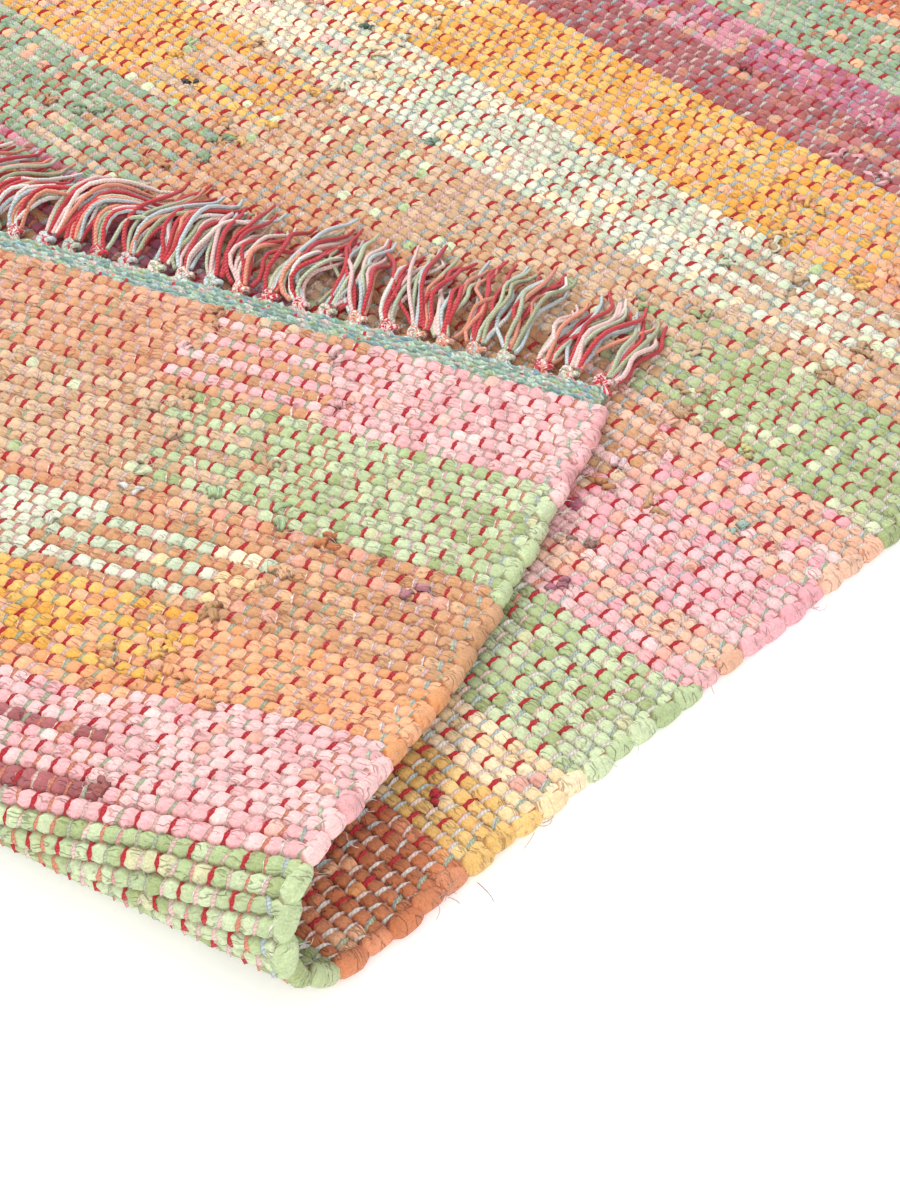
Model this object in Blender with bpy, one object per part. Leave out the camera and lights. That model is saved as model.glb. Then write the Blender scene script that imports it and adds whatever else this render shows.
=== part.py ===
"""Hand-woven cotton rag rug, one end folded back over itself at a skew.

The rug is one cloth of thick rag wefts on thin warps.  A short, finely woven heading
ends it at both ends, with the warps knotted into tassels.  Every point of the cloth is
first given on the flat rug, as a distance across it, a distance along it and a height,
and then carried round the fold.
"""
import random
from math import cos, pi, radians, sin

import bmesh
import bpy
import numpy as np

MM = 0.001

# The flat rug: across is measured from the right selvedge, along from the fold's corner.
WIDTH = 600 * MM
PICK = 5.25 * MM  # from one rag weft to the next
PICKS = 168
THICK = 7.0 * MM
RIB = 0.9 * MM  # how deep the furrow between two wefts is
TURNED = 296 * MM  # length of cloth beyond the fold's corner
NEAR_END = -TURNED
FAR_END = NEAR_END + PICKS * PICK

# The selvedge, where each weft turns back as a knob.
KNOB_OUT = 4.5 * MM
KNOB_IN = 2.5 * MM

# The fold
SKEW = radians(11.4)  # of the fold line to the wefts
LAYER_GAP = 2.0 * MM
LANDING = 45 * MM  # length over which the upper layer levels out
ARC_EASE = 0.45  # 0 for a round loop, towards 1 for a pear shape
FLAP_SHIFT = -47 * MM  # cloth taken up by the loop
LAYING_HEIGHT = 1.5 * THICK + LAYER_GAP  # middle of the upper layer where it lies
# distance along the fold, where the loop starts, height of its top, slope down from it
LOOP_SECTIONS = (
    (-60 * MM, 11.0 * MM, 47 * MM, radians(17.0)),
    (0 * MM, 11.0 * MM, 47 * MM, radians(17.0)),
    (45 * MM, 6.0 * MM, 43 * MM, radians(15.5)),
    (80 * MM, 1.0 * MM, 38 * MM, radians(13.0)),
    (120 * MM, -3.5 * MM, 33 * MM, radians(10.5)),
    (320 * MM, -3.5 * MM, 32 * MM, radians(9.5)),
    (660 * MM, -3.5 * MM, 31 * MM, radians(9.5)),
)
SECTION_STEP = 20 * MM
PATH_STEPS = 160

# The upper layer's left corner passes the lower one's selvedge and sinks to the floor.
SAG_START = 608 * MM
SAG_LENGTH = 42 * MM

# Grid of the cloth
WIDE_COLUMNS = 4
FINE_COLUMNS = 12
FINE_FROM = -176 * MM
FINE_TO = 18 * MM
FLAT_ROW_PICKS = 8  # wefts for each row of the plain underside

# Headings and tassels
PART_GAP = 0.3 * MM
HEADING = 12.0 * MM
HEADING_THICK = 4.0 * MM
HEADING_COLUMNS = 12
TASSELS = 50
ROOT = 6.0 * MM
KNOT_LONG = 6.0 * MM
KNOT_WIDE = 7.4 * MM
KNOT_HIGH = 6.2 * MM
LOCK_WIDE = 4.2 * MM
LOCK_HIGH = 3.4 * MM
LOCK_LONG = (36 * MM, 46 * MM)
CLEAR_OF_LAYER = 0.6 * MM

# The middle of the rug's outline on the floor, from the fold's corner
CENTRE = (-0.33805, 0.25235)

# node, colour, roughness
FINISHES = (
    ("rug_cloth", (0.62, 0.36, 0.22, 1.0), 0.95),
    ("near_fringe", (0.45, 0.09, 0.10, 1.0), 0.9),
    ("far_fringe", (0.40, 0.50, 0.45, 1.0), 0.9),
)


def smooth(value):
    """0 to 1, level at both ends."""
    value = min(max(value, 0.0), 1.0)
    return value * value * (3.0 - 2.0 * value)


def loop_path(start, top, slope):
    """One section of the fold: cloth used, distance inwards, height and turn, in rows."""
    step = np.linspace(0.0, 1.0, PATH_STEPS + 1)
    turn = (pi + slope) * (step - ARC_EASE * np.sin(2 * pi * step) / (2 * pi))
    middle = (turn[1:] + turn[:-1]) / 2
    rise = np.sum(np.sin(middle[middle < pi])) / PATH_STEPS
    arc = (top - THICK) / rise
    height = THICK / 2 + np.append(0.0, np.cumsum(np.sin(middle))) * arc / PATH_STEPS
    inwards = start - np.append(0.0, np.cumsum(np.cos(middle))) * arc / PATH_STEPS
    used = step * arc

    level = np.linspace(0.0, 1.0, PATH_STEPS + 1)[1:]
    middle = slope * (1.0 - level + 0.5 / PATH_STEPS)
    fall = np.cumsum(np.sin(middle)) * LANDING / PATH_STEPS
    straight = (height[-1] - LAYING_HEIGHT - fall[-1]) / sin(slope)
    run = np.cumsum(np.cos(middle)) * LANDING / PATH_STEPS
    foot = height[-1] - straight * sin(slope)
    inwards = np.append(inwards, inwards[-1] + straight * cos(slope) + np.append(0.0, run))
    height = np.append(height, foot - np.append(0.0, fall))
    used = np.append(used, used[-1] + straight + np.append(0.0, level * LANDING))
    turn = np.append(turn, pi + slope * (1.0 - np.append(0.0, level)))

    # The flat cloth on both sides fixes how much of it the loop has.
    first, last = -start, inwards[-1] - FLAP_SHIFT
    used = first + used * (last - first) / used[-1]
    return used, inwards, height, turn


def section_paths():
    table = np.array(LOOP_SECTIONS)
    places = np.arange(table[0, 0], table[-1, 0] + SECTION_STEP, SECTION_STEP)
    return [
        loop_path(*(np.interp(place, table[:, 0], table[:, column]) for column in (1, 2, 3)))
        for place in places
    ]


PATHS = section_paths()


def on_section(path, used):
    """Distance inwards, height, turn and how far landed, for a length of cloth."""
    lengths, inwards, height, turn = path
    if used <= lengths[0]:
        return np.array((-used, THICK / 2, 0.0, 0.0))
    if used >= lengths[-1]:
        return np.array((used + FLAP_SHIFT, LAYING_HEIGHT, pi, 1.0))
    landed = smooth((used - lengths[-1] + LANDING) / LANDING)
    row = [np.interp(used, lengths, values) for values in (inwards, height, turn)]
    return np.array((*row, landed))


def fold(across, along, above=0.0, layer=None):
    """A point of the flat rug, carried round the fold.

    above is measured from the cloth's middle towards its front face; where layer is
    given, the point lies at the height above plus layer over the floor instead.
    """
    beside = across * cos(SKEW) - along * sin(SKEW)
    used = -across * sin(SKEW) - along * cos(SKEW)
    place = min(max((beside - LOOP_SECTIONS[0][0]) / SECTION_STEP, 0.0), len(PATHS) - 1.001)
    left, share = int(place), place - int(place)
    row = on_section(PATHS[left], used) * (1 - share) + on_section(PATHS[left + 1], used) * share
    inwards, height, turn, landed = row
    inwards += above * sin(turn) if layer is None else 0.0
    x = -beside * cos(SKEW) - inwards * sin(SKEW)
    y = -beside * sin(SKEW) + inwards * cos(SKEW)
    sag = smooth((-x - SAG_START) / SAG_LENGTH) * landed
    if layer is None:
        z = height + above * cos(turn) + sag * (THICK / 2 - LAYING_HEIGHT)
    else:
        z = above + layer * (1.0 - sag)
    return x - CENTRE[0], y - CENTRE[1], max(z, 0.0)


def stitch(mesh, first, second, flip):
    """Faces between two lines of vertices, which may differ in number."""
    i = j = 0
    while i < len(first) - 1 or j < len(second) - 1:
        next_i = (i + 1) / (len(first) - 1) if i < len(first) - 1 else 2.0
        next_j = (j + 1) / (len(second) - 1) if j < len(second) - 1 else 2.0
        if abs(next_i - next_j) < 1e-6:
            corners = [first[i], first[i + 1], second[j + 1], second[j]]
            i, j = i + 1, j + 1
        elif next_i < next_j:
            corners = [first[i], first[i + 1], second[j]]
            i += 1
        else:
            corners = [first[i], second[j + 1], second[j]]
            j += 1
        mesh.faces.new(corners[::-1] if flip else corners)


def finish(mesh, name):
    """The mesh as a named object with its material."""
    bmesh.ops.triangulate(mesh, faces=mesh.faces)
    bmesh.ops.recalc_face_normals(mesh, faces=mesh.faces)
    data = bpy.data.meshes.new(name)
    mesh.to_mesh(data)
    mesh.free()
    body = bpy.data.objects.new(name, data)
    bpy.context.scene.collection.objects.link(body)
    colour, roughness = next(row[1:] for row in FINISHES if row[0] == name)
    material = bpy.data.materials.new(name + "_cotton")
    material.use_nodes = True
    shader = material.node_tree.nodes["Principled BSDF"]
    shader.inputs["Base Color"].default_value = colour
    shader.inputs["Roughness"].default_value = roughness
    data.materials.append(material)
    return body


def columns_at(along):
    return FINE_COLUMNS if FINE_FROM <= along <= FINE_TO else WIDE_COLUMNS


def cloth_face(mesh, rows, side, flip):
    """One face of the cloth; its two selvedge lines are returned."""
    lines = []
    for along, above in rows:
        count = columns_at(along)
        line = [
            mesh.verts.new(fold(WIDTH * step / count, along, side * above))
            for step in range(count + 1)
        ]
        if lines:
            stitch(mesh, lines[-1], line, flip)
        lines.append(line)
    return lines


def make_cloth():
    """The rag-woven cloth: wefts as ribs, knobbed selvedges, plain where it lies."""
    mesh = bmesh.new()
    ribbed = [
        (NEAR_END + half * PICK / 2, THICK / 2 - (0.0 if half % 2 else RIB))
        for half in range(2 * PICKS + 1)
    ]
    first_flat = next(at for at, row in enumerate(ribbed) if row[0] > FINE_TO) + 1
    first_flat += first_flat % 2
    plain = [(row[0], THICK / 2) for row in ribbed[first_flat::2 * FLAT_ROW_PICKS]]
    plain.append((FAR_END, THICK / 2))
    front = cloth_face(mesh, ribbed, 1, False)
    back = cloth_face(mesh, ribbed[:first_flat - 1] + plain, -1, True)
    for end in (0, -1):
        stitch(mesh, front[end], back[end], end == 0)
    for edge, outwards in ((0, -1), (-1, 1)):
        knobs = []
        for pick in range(PICKS + 1):
            along = NEAR_END + pick * PICK
            reach = KNOB_IN if pick % 2 else KNOB_OUT
            across = (0.0 if edge == 0 else WIDTH) + outwards * reach
            knobs.append(mesh.verts.new(fold(across, along)))
        front_edge = [line[edge] for line in front]
        back_edge = [line[edge] for line in back]
        stitch_edge(mesh, front_edge, knobs, ribbed, edge == 0)
        rows = ribbed[:first_flat - 1] + plain
        stitch_edge(mesh, back_edge, knobs, rows, edge != 0)
        for end in (0, -1):
            corners = [front_edge[end], knobs[end], back_edge[end]]
            mesh.faces.new(corners)
    return finish(mesh, "rug_cloth")


def stitch_edge(mesh, face_line, knobs, rows, flip):
    """Triangles between a face's selvedge line and the knobs, matched by length."""
    i = j = 0
    while i < len(face_line) - 1 or j < len(knobs) - 1:
        next_i = rows[i + 1][0] if i < len(face_line) - 1 else FAR_END + 1.0
        next_j = NEAR_END + (j + 1) * PICK if j < len(knobs) - 1 else FAR_END + 1.0
        if next_i <= next_j:
            corners = [face_line[i], face_line[i + 1], knobs[j]]
            i += 1
        else:
            corners = [face_line[i], knobs[j + 1], knobs[j]]
            j += 1
        mesh.faces.new(corners[::-1] if flip else corners)


def lock(mesh, root, points, layer):
    """A four-sided lock of yarns from its root ring along a line of flat points."""
    ring = root
    for step, (across, along, turn, size) in enumerate(points):
        wide = size * LOCK_WIDE / 2
        high = LOCK_HIGH * (0.75 + 0.25 * size)
        left = (across + wide * cos(turn), along + wide * sin(turn))
        right = (across - wide * cos(turn), along - wide * sin(turn))
        corners = [(left, 0.0), (right, 0.0), (right, high), (left, high)]
        fresh = [mesh.verts.new(fold(*flat, up, layer=layer)) for flat, up in corners]
        for k in range(4):
            mesh.faces.new((ring[k], ring[(k + 1) % 4], fresh[(k + 1) % 4], fresh[k]))
        ring = fresh
    mesh.faces.new(ring)


def make_fringe(name, edge, outwards, layer, segments, seed):
    """A woven heading and the row of knotted tassels that it holds."""
    draw = random.Random(seed)
    mesh = bmesh.new()
    spacing = WIDTH / TASSELS
    inner_along = edge + outwards * PART_GAP
    outer_along = inner_along + outwards * HEADING
    knot_along = outer_along + outwards * KNOT_LONG
    inner_low, outer_low = 2.5 * MM * (1 if layer else 0), 0.8 * MM * (1 if layer else 0)

    def line(places, along, up):
        return [mesh.verts.new(fold(across, along, up, layer=layer)) for across in places]

    inner = [WIDTH * step / HEADING_COLUMNS for step in range(HEADING_COLUMNS + 1)]
    outer = [0.0]
    for tassel in range(TASSELS):
        middle = (tassel + 0.5) * spacing
        outer += [middle - ROOT / 2, middle, middle + ROOT / 2]
    outer.append(WIDTH)
    inner_bottom = line(inner, inner_along, inner_low)
    inner_top = line(inner, inner_along, inner_low + HEADING_THICK)
    outer_bottom = line(outer, outer_along, outer_low)
    outer_top = line(outer, outer_along, outer_low + HEADING_THICK)
    stitch(mesh, inner_bottom, outer_bottom, False)
    stitch(mesh, inner_top, outer_top, True)
    stitch(mesh, inner_bottom, inner_top, True)
    for end in (0, -1):
        mesh.faces.new((inner_bottom[end], outer_bottom[end], outer_top[end], inner_top[end]))

    for tassel in range(TASSELS + 1):
        left = 3 * tassel
        mesh.faces.new(
            (outer_bottom[left], outer_bottom[left + 1], outer_top[left + 1], outer_top[left])
        )
    for tassel in range(TASSELS):
        start = 3 * tassel + 1
        middle = (tassel + 0.5) * spacing
        root = outer_bottom[start:start + 3] + outer_top[start:start + 3][::-1]
        shift = draw.uniform(-0.6, 0.6) * MM
        half = KNOT_WIDE / 2
        across = [middle + shift + part for part in (-half, 0.0, half)]
        knot = line(across, knot_along, 0.0) + line(across[::-1], knot_along, KNOT_HIGH)
        for k in range(6):
            mesh.faces.new((root[k], root[(k + 1) % 6], knot[(k + 1) % 6], knot[k]))
        lean = draw.uniform(-0.25, 0.25)
        for side, ring in (
            (-1, [knot[1], knot[0], knot[5], knot[4]]),
            (1, [knot[2], knot[1], knot[4], knot[3]]),
        ):
            spread = lean + side * draw.uniform(0.06, 0.16)
            bend = draw.uniform(-0.2, 0.2)
            long = draw.uniform(*LOCK_LONG)
            points = []
            for step in range(1, segments + 1):
                part = step / segments
                drift = (spread * part + bend * part * (1.0 - part)) * spacing * 1.1
                place = middle + shift + side * (LOCK_WIDE / 2 + 0.45 * MM) + drift
                points.append(
                    (place, knot_along + outwards * long * part, 0.0, 1.0 - 0.35 * part * part)
                )
            lock(mesh, ring, points, layer)
    return finish(mesh, name)


def main():
    for item in list(bpy.data.objects):
        bpy.data.objects.remove(item)
    make_cloth()
    make_fringe("near_fringe", NEAR_END, -1, THICK + CLEAR_OF_LAYER, 3, 11)
    make_fringe("far_fringe", FAR_END, 1, 0.0, 2, 23)


main()
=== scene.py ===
# %% [markdown]
# # A hand-woven cotton rag rug
# The rug is plain weave: thick strips of cotton rag, the wefts, run over and under pairs
# of thin warp yarns. Between two warp pairs the rag swells into a soft bead, and each
# pair shows as a short stitch between two beads. One end of the rug is folded back over
# itself at a skew, and the warps are knotted into tassels at both ends.
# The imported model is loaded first, because everything below is built around it.

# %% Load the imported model
from math import cos, pi, radians, sin

import bmesh
import bpy
import numpy as np
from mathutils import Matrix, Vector


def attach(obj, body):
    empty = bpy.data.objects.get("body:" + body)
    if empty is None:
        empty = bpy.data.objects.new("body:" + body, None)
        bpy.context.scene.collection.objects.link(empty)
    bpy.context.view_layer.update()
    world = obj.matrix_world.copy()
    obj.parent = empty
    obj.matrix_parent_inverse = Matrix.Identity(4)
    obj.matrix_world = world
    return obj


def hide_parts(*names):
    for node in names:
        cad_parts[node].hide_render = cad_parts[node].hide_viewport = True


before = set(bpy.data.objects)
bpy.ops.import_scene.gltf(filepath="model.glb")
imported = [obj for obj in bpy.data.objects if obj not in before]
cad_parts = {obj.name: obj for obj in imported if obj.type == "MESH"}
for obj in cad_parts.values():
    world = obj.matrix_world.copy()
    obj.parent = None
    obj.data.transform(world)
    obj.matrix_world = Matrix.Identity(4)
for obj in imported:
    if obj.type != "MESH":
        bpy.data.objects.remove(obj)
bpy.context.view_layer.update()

MM = 0.001

# %% [markdown]
# ## Sizes
# A rug is planned flat, so every size here belongs to the flat rug: across it, from the
# right selvedge, and along it, from the corner of the fold. A weaver counts the warp
# pairs and the wefts, called picks, and the same two counts place everything later.

# %% The flat rug
WIDTH = 600 * MM
WARP_PAIRS = 213
WARP = WIDTH / WARP_PAIRS
PICK = 5.25 * MM
PICKS = 168
THICK = 7.0 * MM
NEAR_END = -296 * MM
FAR_END = NEAR_END + PICKS * PICK
CENTRE = np.array((-0.33805, 0.25235))
LAYER_GAP = 2.0 * MM
print("warp pair every", round(WARP / MM, 2), "mm, flat length", round((FAR_END - NEAR_END) / MM))

# %% [markdown]
# ## The fold
# A fold in thick cloth is not a crease but a loop: the cloth leaves the floor, turns
# over and slopes down onto the layer below. Across the fold line, cloth only bends and
# keeps its length, so one curve for each section of the loop is enough. Each curve is
# kept as a table of length of cloth against position, and a point of the flat rug is
# looked up between two neighbouring tables. Numpy does that for all points at once.

# %% Loop sections
SKEW = radians(11.4)
LANDING = 45 * MM
ARC_EASE = 0.45
FLAP_SHIFT = -47 * MM
LAYING_HEIGHT = 1.5 * THICK + LAYER_GAP
SAG_START, SAG_LENGTH = 608 * MM, 42 * MM
# distance along the fold, where the loop starts, height of its top, slope down from it
LOOP_SECTIONS = np.array((
    (-60 * MM, 11.0 * MM, 47 * MM, radians(17.0)),
    (0 * MM, 11.0 * MM, 47 * MM, radians(17.0)),
    (45 * MM, 6.0 * MM, 43 * MM, radians(15.5)),
    (80 * MM, 1.0 * MM, 38 * MM, radians(13.0)),
    (120 * MM, -3.5 * MM, 33 * MM, radians(10.5)),
    (320 * MM, -3.5 * MM, 32 * MM, radians(9.5)),
    (660 * MM, -3.5 * MM, 31 * MM, radians(9.5)),
))
SECTION_STEP = 20 * MM
PATH_STEPS = 160
USED_FROM, USED_TO, USED_STEP = -40 * MM, 240 * MM, 1 * MM


def loop_path(start, top, slope):
    """One section of the fold: cloth used, distance inwards, height and turn, in rows."""
    step = np.linspace(0.0, 1.0, PATH_STEPS + 1)
    turn = (pi + slope) * (step - ARC_EASE * np.sin(2 * pi * step) / (2 * pi))
    middle = (turn[1:] + turn[:-1]) / 2
    rise = np.sum(np.sin(middle[middle < pi])) / PATH_STEPS
    arc = (top - THICK) / rise
    height = THICK / 2 + np.append(0.0, np.cumsum(np.sin(middle))) * arc / PATH_STEPS
    inwards = start - np.append(0.0, np.cumsum(np.cos(middle))) * arc / PATH_STEPS
    level = step[1:]
    middle = slope * (1.0 - level + 0.5 / PATH_STEPS)
    fall = np.append(0.0, np.cumsum(np.sin(middle))) * LANDING / PATH_STEPS
    run = np.append(0.0, np.cumsum(np.cos(middle))) * LANDING / PATH_STEPS
    straight = (height[-1] - LAYING_HEIGHT - fall[-1]) / sin(slope)
    foot = height[-1] - straight * sin(slope)
    inwards = np.append(inwards, inwards[-1] + straight * cos(slope) + run)
    height = np.append(height, foot - fall)
    used = np.append(step * arc, arc + straight + step * LANDING)
    turn = np.append(turn, pi + slope * (1.0 - step))
    first, last = -start, inwards[-1] - FLAP_SHIFT
    return first + used * (last - first) / used[-1], inwards, height, turn


def section_tables():
    """Distance inwards, height, turn and landing, by place along the fold and cloth used."""
    places = np.arange(LOOP_SECTIONS[0, 0], LOOP_SECTIONS[-1, 0] + SECTION_STEP, SECTION_STEP)
    lengths = np.arange(USED_FROM, USED_TO, USED_STEP)
    tables = []
    for place in places:
        row = [np.interp(place, LOOP_SECTIONS[:, 0], LOOP_SECTIONS[:, c]) for c in (1, 2, 3)]
        used, inwards, height, turn = loop_path(*row)
        before, after = lengths < used[0], lengths > used[-1]
        place_in = np.interp(lengths, used, inwards)
        place_in[before] = -lengths[before]
        place_in[after] = lengths[after] + FLAP_SHIFT
        landed = np.clip((lengths - used[-1] + LANDING) / LANDING, 0.0, 1.0)
        tables.append((place_in, np.interp(lengths, used, height),
                       np.interp(lengths, used, turn), landed * landed * (3 - 2 * landed)))
    return np.array(tables).transpose(0, 2, 1)


TABLES = section_tables()
print("fold tables", TABLES.shape)


# %% Carry flat points round the fold
def fold(across, along, above=0.0, layer=None):
    """Points of the flat rug, carried round the fold, as an array of x, y, z.

    above is measured from the cloth's middle towards its front face; where layer is
    given, a point lies at the height above plus layer over the floor instead.
    """
    across, along, above = np.broadcast_arrays(across, along, above)
    beside = across * cos(SKEW) - along * sin(SKEW)
    used = -across * sin(SKEW) - along * cos(SKEW)
    place = np.clip((beside - LOOP_SECTIONS[0, 0]) / SECTION_STEP, 0, len(TABLES) - 1.001)
    length = np.clip((used - USED_FROM) / USED_STEP, 0, TABLES.shape[1] - 1.001)
    i, j = place.astype(int), length.astype(int)
    p, q = (place - i)[..., None], (length - j)[..., None]
    row = (TABLES[i, j] * (1 - p) + TABLES[i + 1, j] * p) * (1 - q)
    row += (TABLES[i, j + 1] * (1 - p) + TABLES[i + 1, j + 1] * p) * q
    inwards, height, turn, landed = np.moveaxis(row, -1, 0)
    inwards = np.where(used < USED_FROM, -used, np.where(used > USED_TO - 2 * USED_STEP,
                                                        used + FLAP_SHIFT, inwards))
    if layer is None:
        inwards = inwards + above * np.sin(turn)
    x = -beside * cos(SKEW) - inwards * sin(SKEW)
    y = -beside * sin(SKEW) + inwards * cos(SKEW)
    sag = np.clip((-x - SAG_START) / SAG_LENGTH, 0.0, 1.0)
    sag = sag * sag * (3 - 2 * sag) * landed
    if layer is None:
        z = height + above * np.cos(turn) + sag * (THICK / 2 - LAYING_HEIGHT)
    else:
        z = above + layer * (1.0 - sag)
    return np.stack((x - CENTRE[0], y - CENTRE[1], z), axis=-1)


corner = fold(0.0, NEAR_END)
print("corner of the turned end", corner.round(4))

# %% [markdown]
# ## Colours and stripes
# Rag rugs take their stripes from whatever cloth is torn up next. A rag seldom ends at a
# selvedge: where two colours meet inside the rug, rows of one reach between rows of the
# other. So the stripes are charted as a weaver would note them: how many picks,
# which rag comes from the right, between which two places rows of the next one
# alternate with it, and so on to the left. Each rag has a few shades, as it fades and
# twists, and the colours are sRGB hex values turned to linear light by one function.


# %% Rag shades
def linear(hex_colour):
    """An sRGB hex colour as linear red, green, blue and alpha."""
    parts = np.array([int(hex_colour[k:k + 2], 16) / 255 for k in (0, 2, 4)])
    light = np.where(parts < 0.04045, parts / 12.92, ((parts + 0.055) / 1.055) ** 2.4)
    return np.append(light, 1.0)


RAGS = {
    "pink": ("edb6b5", "f0c3bf", "e8acac", "f1cbc4"),
    "rose": ("ebb0b3", "efbcbb", "e5a4a9", "f0c4be"),
    "peach": ("e2ae90", "e8bba0", "e0a694", "e9b5a7"),
    "leaf": ("bac999", "c6d3a8", "aebe8a", "ced4ad"),
    "grass": ("a9b983", "b6c192", "9fac77", "c6c59b"),
    "sage": ("93aa85", "a3b693", "88a07d", "b1c09f"),
    "tan": ("d3a178", "cb976c", "dbaf86", "d09f81"),
    "sand": ("cfaa84", "d7b794", "c7a078", "d2b696"),
    "apricot": ("d49d74", "dba886", "cc926a", "d69f86"),
    "orange": ("eaa572", "eeb084", "e29c66", "e9b28c"),
    "sienna": ("d0835a", "c77950", "d98f68", "d6987a"),
    "ochre": ("e8c078", "e2b66c", "ecca88", "e2bc8c"),
    "straw": ("eed3a4", "f2dbb4", "e9ca98", "f2dfbc"),
    "yellow": ("e6ae50", "eab965", "de9f43", "ebc37f"),
    "mint": ("d1d5b8", "dbdec6", "c5cfb0", "e1dbc2"),
    "cream": ("eadfba", "efe6c9", "e2d3a6", "e6dcc4"),
    "mauve": ("ab6364", "9f5b5b", "b77371", "b58171"),
    "plum": ("c27386", "b06478", "cf8996", "cd989e"),
    "russet": ("b46d57", "c07d67", "a66059", "c69678"),
}
# a rag is printed or pieced, so some beads have another colour: which, and how seldom
STRAYS = {
    "pink": ("peach", 1.6), "rose": ("peach", 1.1), "peach": ("rose", 0.7), "leaf": ("grass", 1.0),
    "grass": ("leaf", 1.2), "sage": ("tan", 1.5), "tan": ("apricot", 1.1), "sand": ("leaf", 1.5),
    "apricot": ("sand", 1.0), "orange": ("apricot", 1.0), "sienna": ("orange", 1.2),
    "ochre": ("straw", 1.2), "straw": ("peach", 1.4), "yellow": ("orange", 1.3),
    "mint": ("straw", 1.0), "cream": ("mint", 1.0), "mauve": ("russet", 0.8),
    "plum": ("russet", 1.2), "russet": ("tan", 1.0),
}
RAG_NAMES = list(RAGS)
SHADES = np.array([[linear(shade) for shade in shades] for shades in RAGS.values()])
STRAY = np.array([RAG_NAMES.index(STRAYS[name][0]) for name in RAG_NAMES])
STRAY_FROM = np.array([STRAYS[name][1] for name in RAG_NAMES])
print(len(RAGS), "rags,", SHADES.shape[1], "shades of each")

# %% The stripe chart
# picks, right rag, meets from and to (mm across), middle rag, meets from and to, left rag
STRIPES = (
    (9, "pink", 92, 150, "apricot", 500, 560, "tan"),
    (10, "leaf", 98, 143, "sand", 430, 490, "sand"),
    (2, "tan", 60, 120, "apricot", 400, 470, "sand"),
    (7, "tan", 76, 150, "mint", 330, 400, "apricot"),
    (7, "orange", 74, 118, "yellow", 360, 420, "sand"),
    (1, "pink", 50, 60, "orange", 360, 420, "sand"),
    (1, "pink", 84, 90, "orange", 360, 420, "sand"),
    (2, "pink", 118, 190, "rose", 420, 470, "plum"),
    (1, "pink", 118, 190, "plum", 420, 470, "plum"),
    (1, "pink", 82, 84, "mauve", 420, 470, "plum"),
    (2, "pink", 118, 190, "rose", 420, 470, "plum"),
    (1, "pink", 118, 190, "plum", 420, 470, "plum"),
    (1, "pink", 64, 66, "mauve", 420, 470, "plum"),
    (1, "pink", 118, 190, "rose", 420, 470, "plum"),
    (6, "leaf", 300, 360, "grass", 470, 520, "sage"),
    (4, "grass", 300, 360, "leaf", 470, 520, "sage"),
    (6, "sienna", 180, 250, "sienna", 420, 470, "ochre"),
    (4, "sienna", 180, 250, "tan", 420, 470, "ochre"),
    (5, "ochre", 120, 200, "tan", 380, 450, "sand"),
    (4, "straw", 120, 180, "cream", 380, 450, "sand"),
    (10, "leaf", 60, 110, "grass", 360, 420, "sand"),
    (2, "pink", 84, 130, "plum", 330, 400, "tan"),
    (3, "peach", 84, 130, "plum", 330, 400, "tan"),
    (4, "rose", 84, 120, "plum", 330, 400, "sage"),
    (3, "rose", 84, 120, "sand", 330, 400, "sage"),
    (7, "peach", 82, 130, "tan", 330, 400, "sage"),
    (10, "grass", 90, 132, "sand", 330, 402, "yellow"),
    (1, "sand", 60, 134, "sand", 336, 396, "yellow"),
    (9, "sand", 60, 136, "mint", 332, 394, "straw"),
    (11, "orange", 88, 138, "yellow", 336, 396, "straw"),
    (6, "russet", 40, 72, "mauve", 380, 440, "russet"),
    (5, "rose", 40, 62, "plum", 380, 440, "mauve"),
    (8, "leaf", 40, 90, "sage", 400, 450, "grass"),
    (7, "apricot", 120, 170, "sienna", 380, 430, "apricot"),
    (7, "pink", 100, 170, "peach", 390, 450, "pink"),
)
print(len(STRIPES), "rows in the chart, for", sum(row[0] for row in STRIPES), "picks")

# %% The rags of each pick
MEET_SPREAD = 6 * MM


def rag_chart():
    """For each pick, its three rags and where they meet, with ragged meeting places."""
    draw = np.random.default_rng(5)
    rows = []
    for picks, right, r_from, r_to, middle, m_from, m_to, left in STRIPES:
        for _ in range(picks):
            odd = len(rows) % 2
            meets = [r_to if odd else r_from, m_from if odd else m_to]
            meets = np.array(meets) * MM + draw.normal(0, MEET_SPREAD, 2)
            rows.append([RAG_NAMES.index(name) for name in (right, middle, left)] + list(meets))
    return np.array(rows)


CHART = rag_chart()
assert len(CHART) == PICKS, "the stripes have to fill the rug"
print("first meeting places", (CHART[:4, 3] / MM).round(1), "mm across")

# %% The colour of a bead
def run_noise(seed, runs):
    """Smooth random values for each pick, changing along the weft."""
    draw = np.random.default_rng(seed)
    coarse = draw.normal(0.0, 1.0, (PICKS, runs + 3))
    spot = np.linspace(0, runs, WARP_PAIRS + 1)
    i = spot.astype(int)
    t = spot - i
    t = t * t * (3 - 2 * t)
    return coarse[:, i] * (1 - t) + coarse[:, i + 1] * t


SHADE_RUN = run_noise(21, 14)
# how much one bead, and a run of beads, changes which rag it is, its shade and its tone
STRAY_MIX = (0.8, 0.5)
SHADE_MIX = (0.45, 0.9)
TONE_MIX = (0.035, 0.03)
USUAL_SHADE = 1.5
BEAD_DRAW = np.random.default_rng(8).normal(0.0, 1.0, (2, PICKS, WARP_PAIRS + 1))


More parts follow.
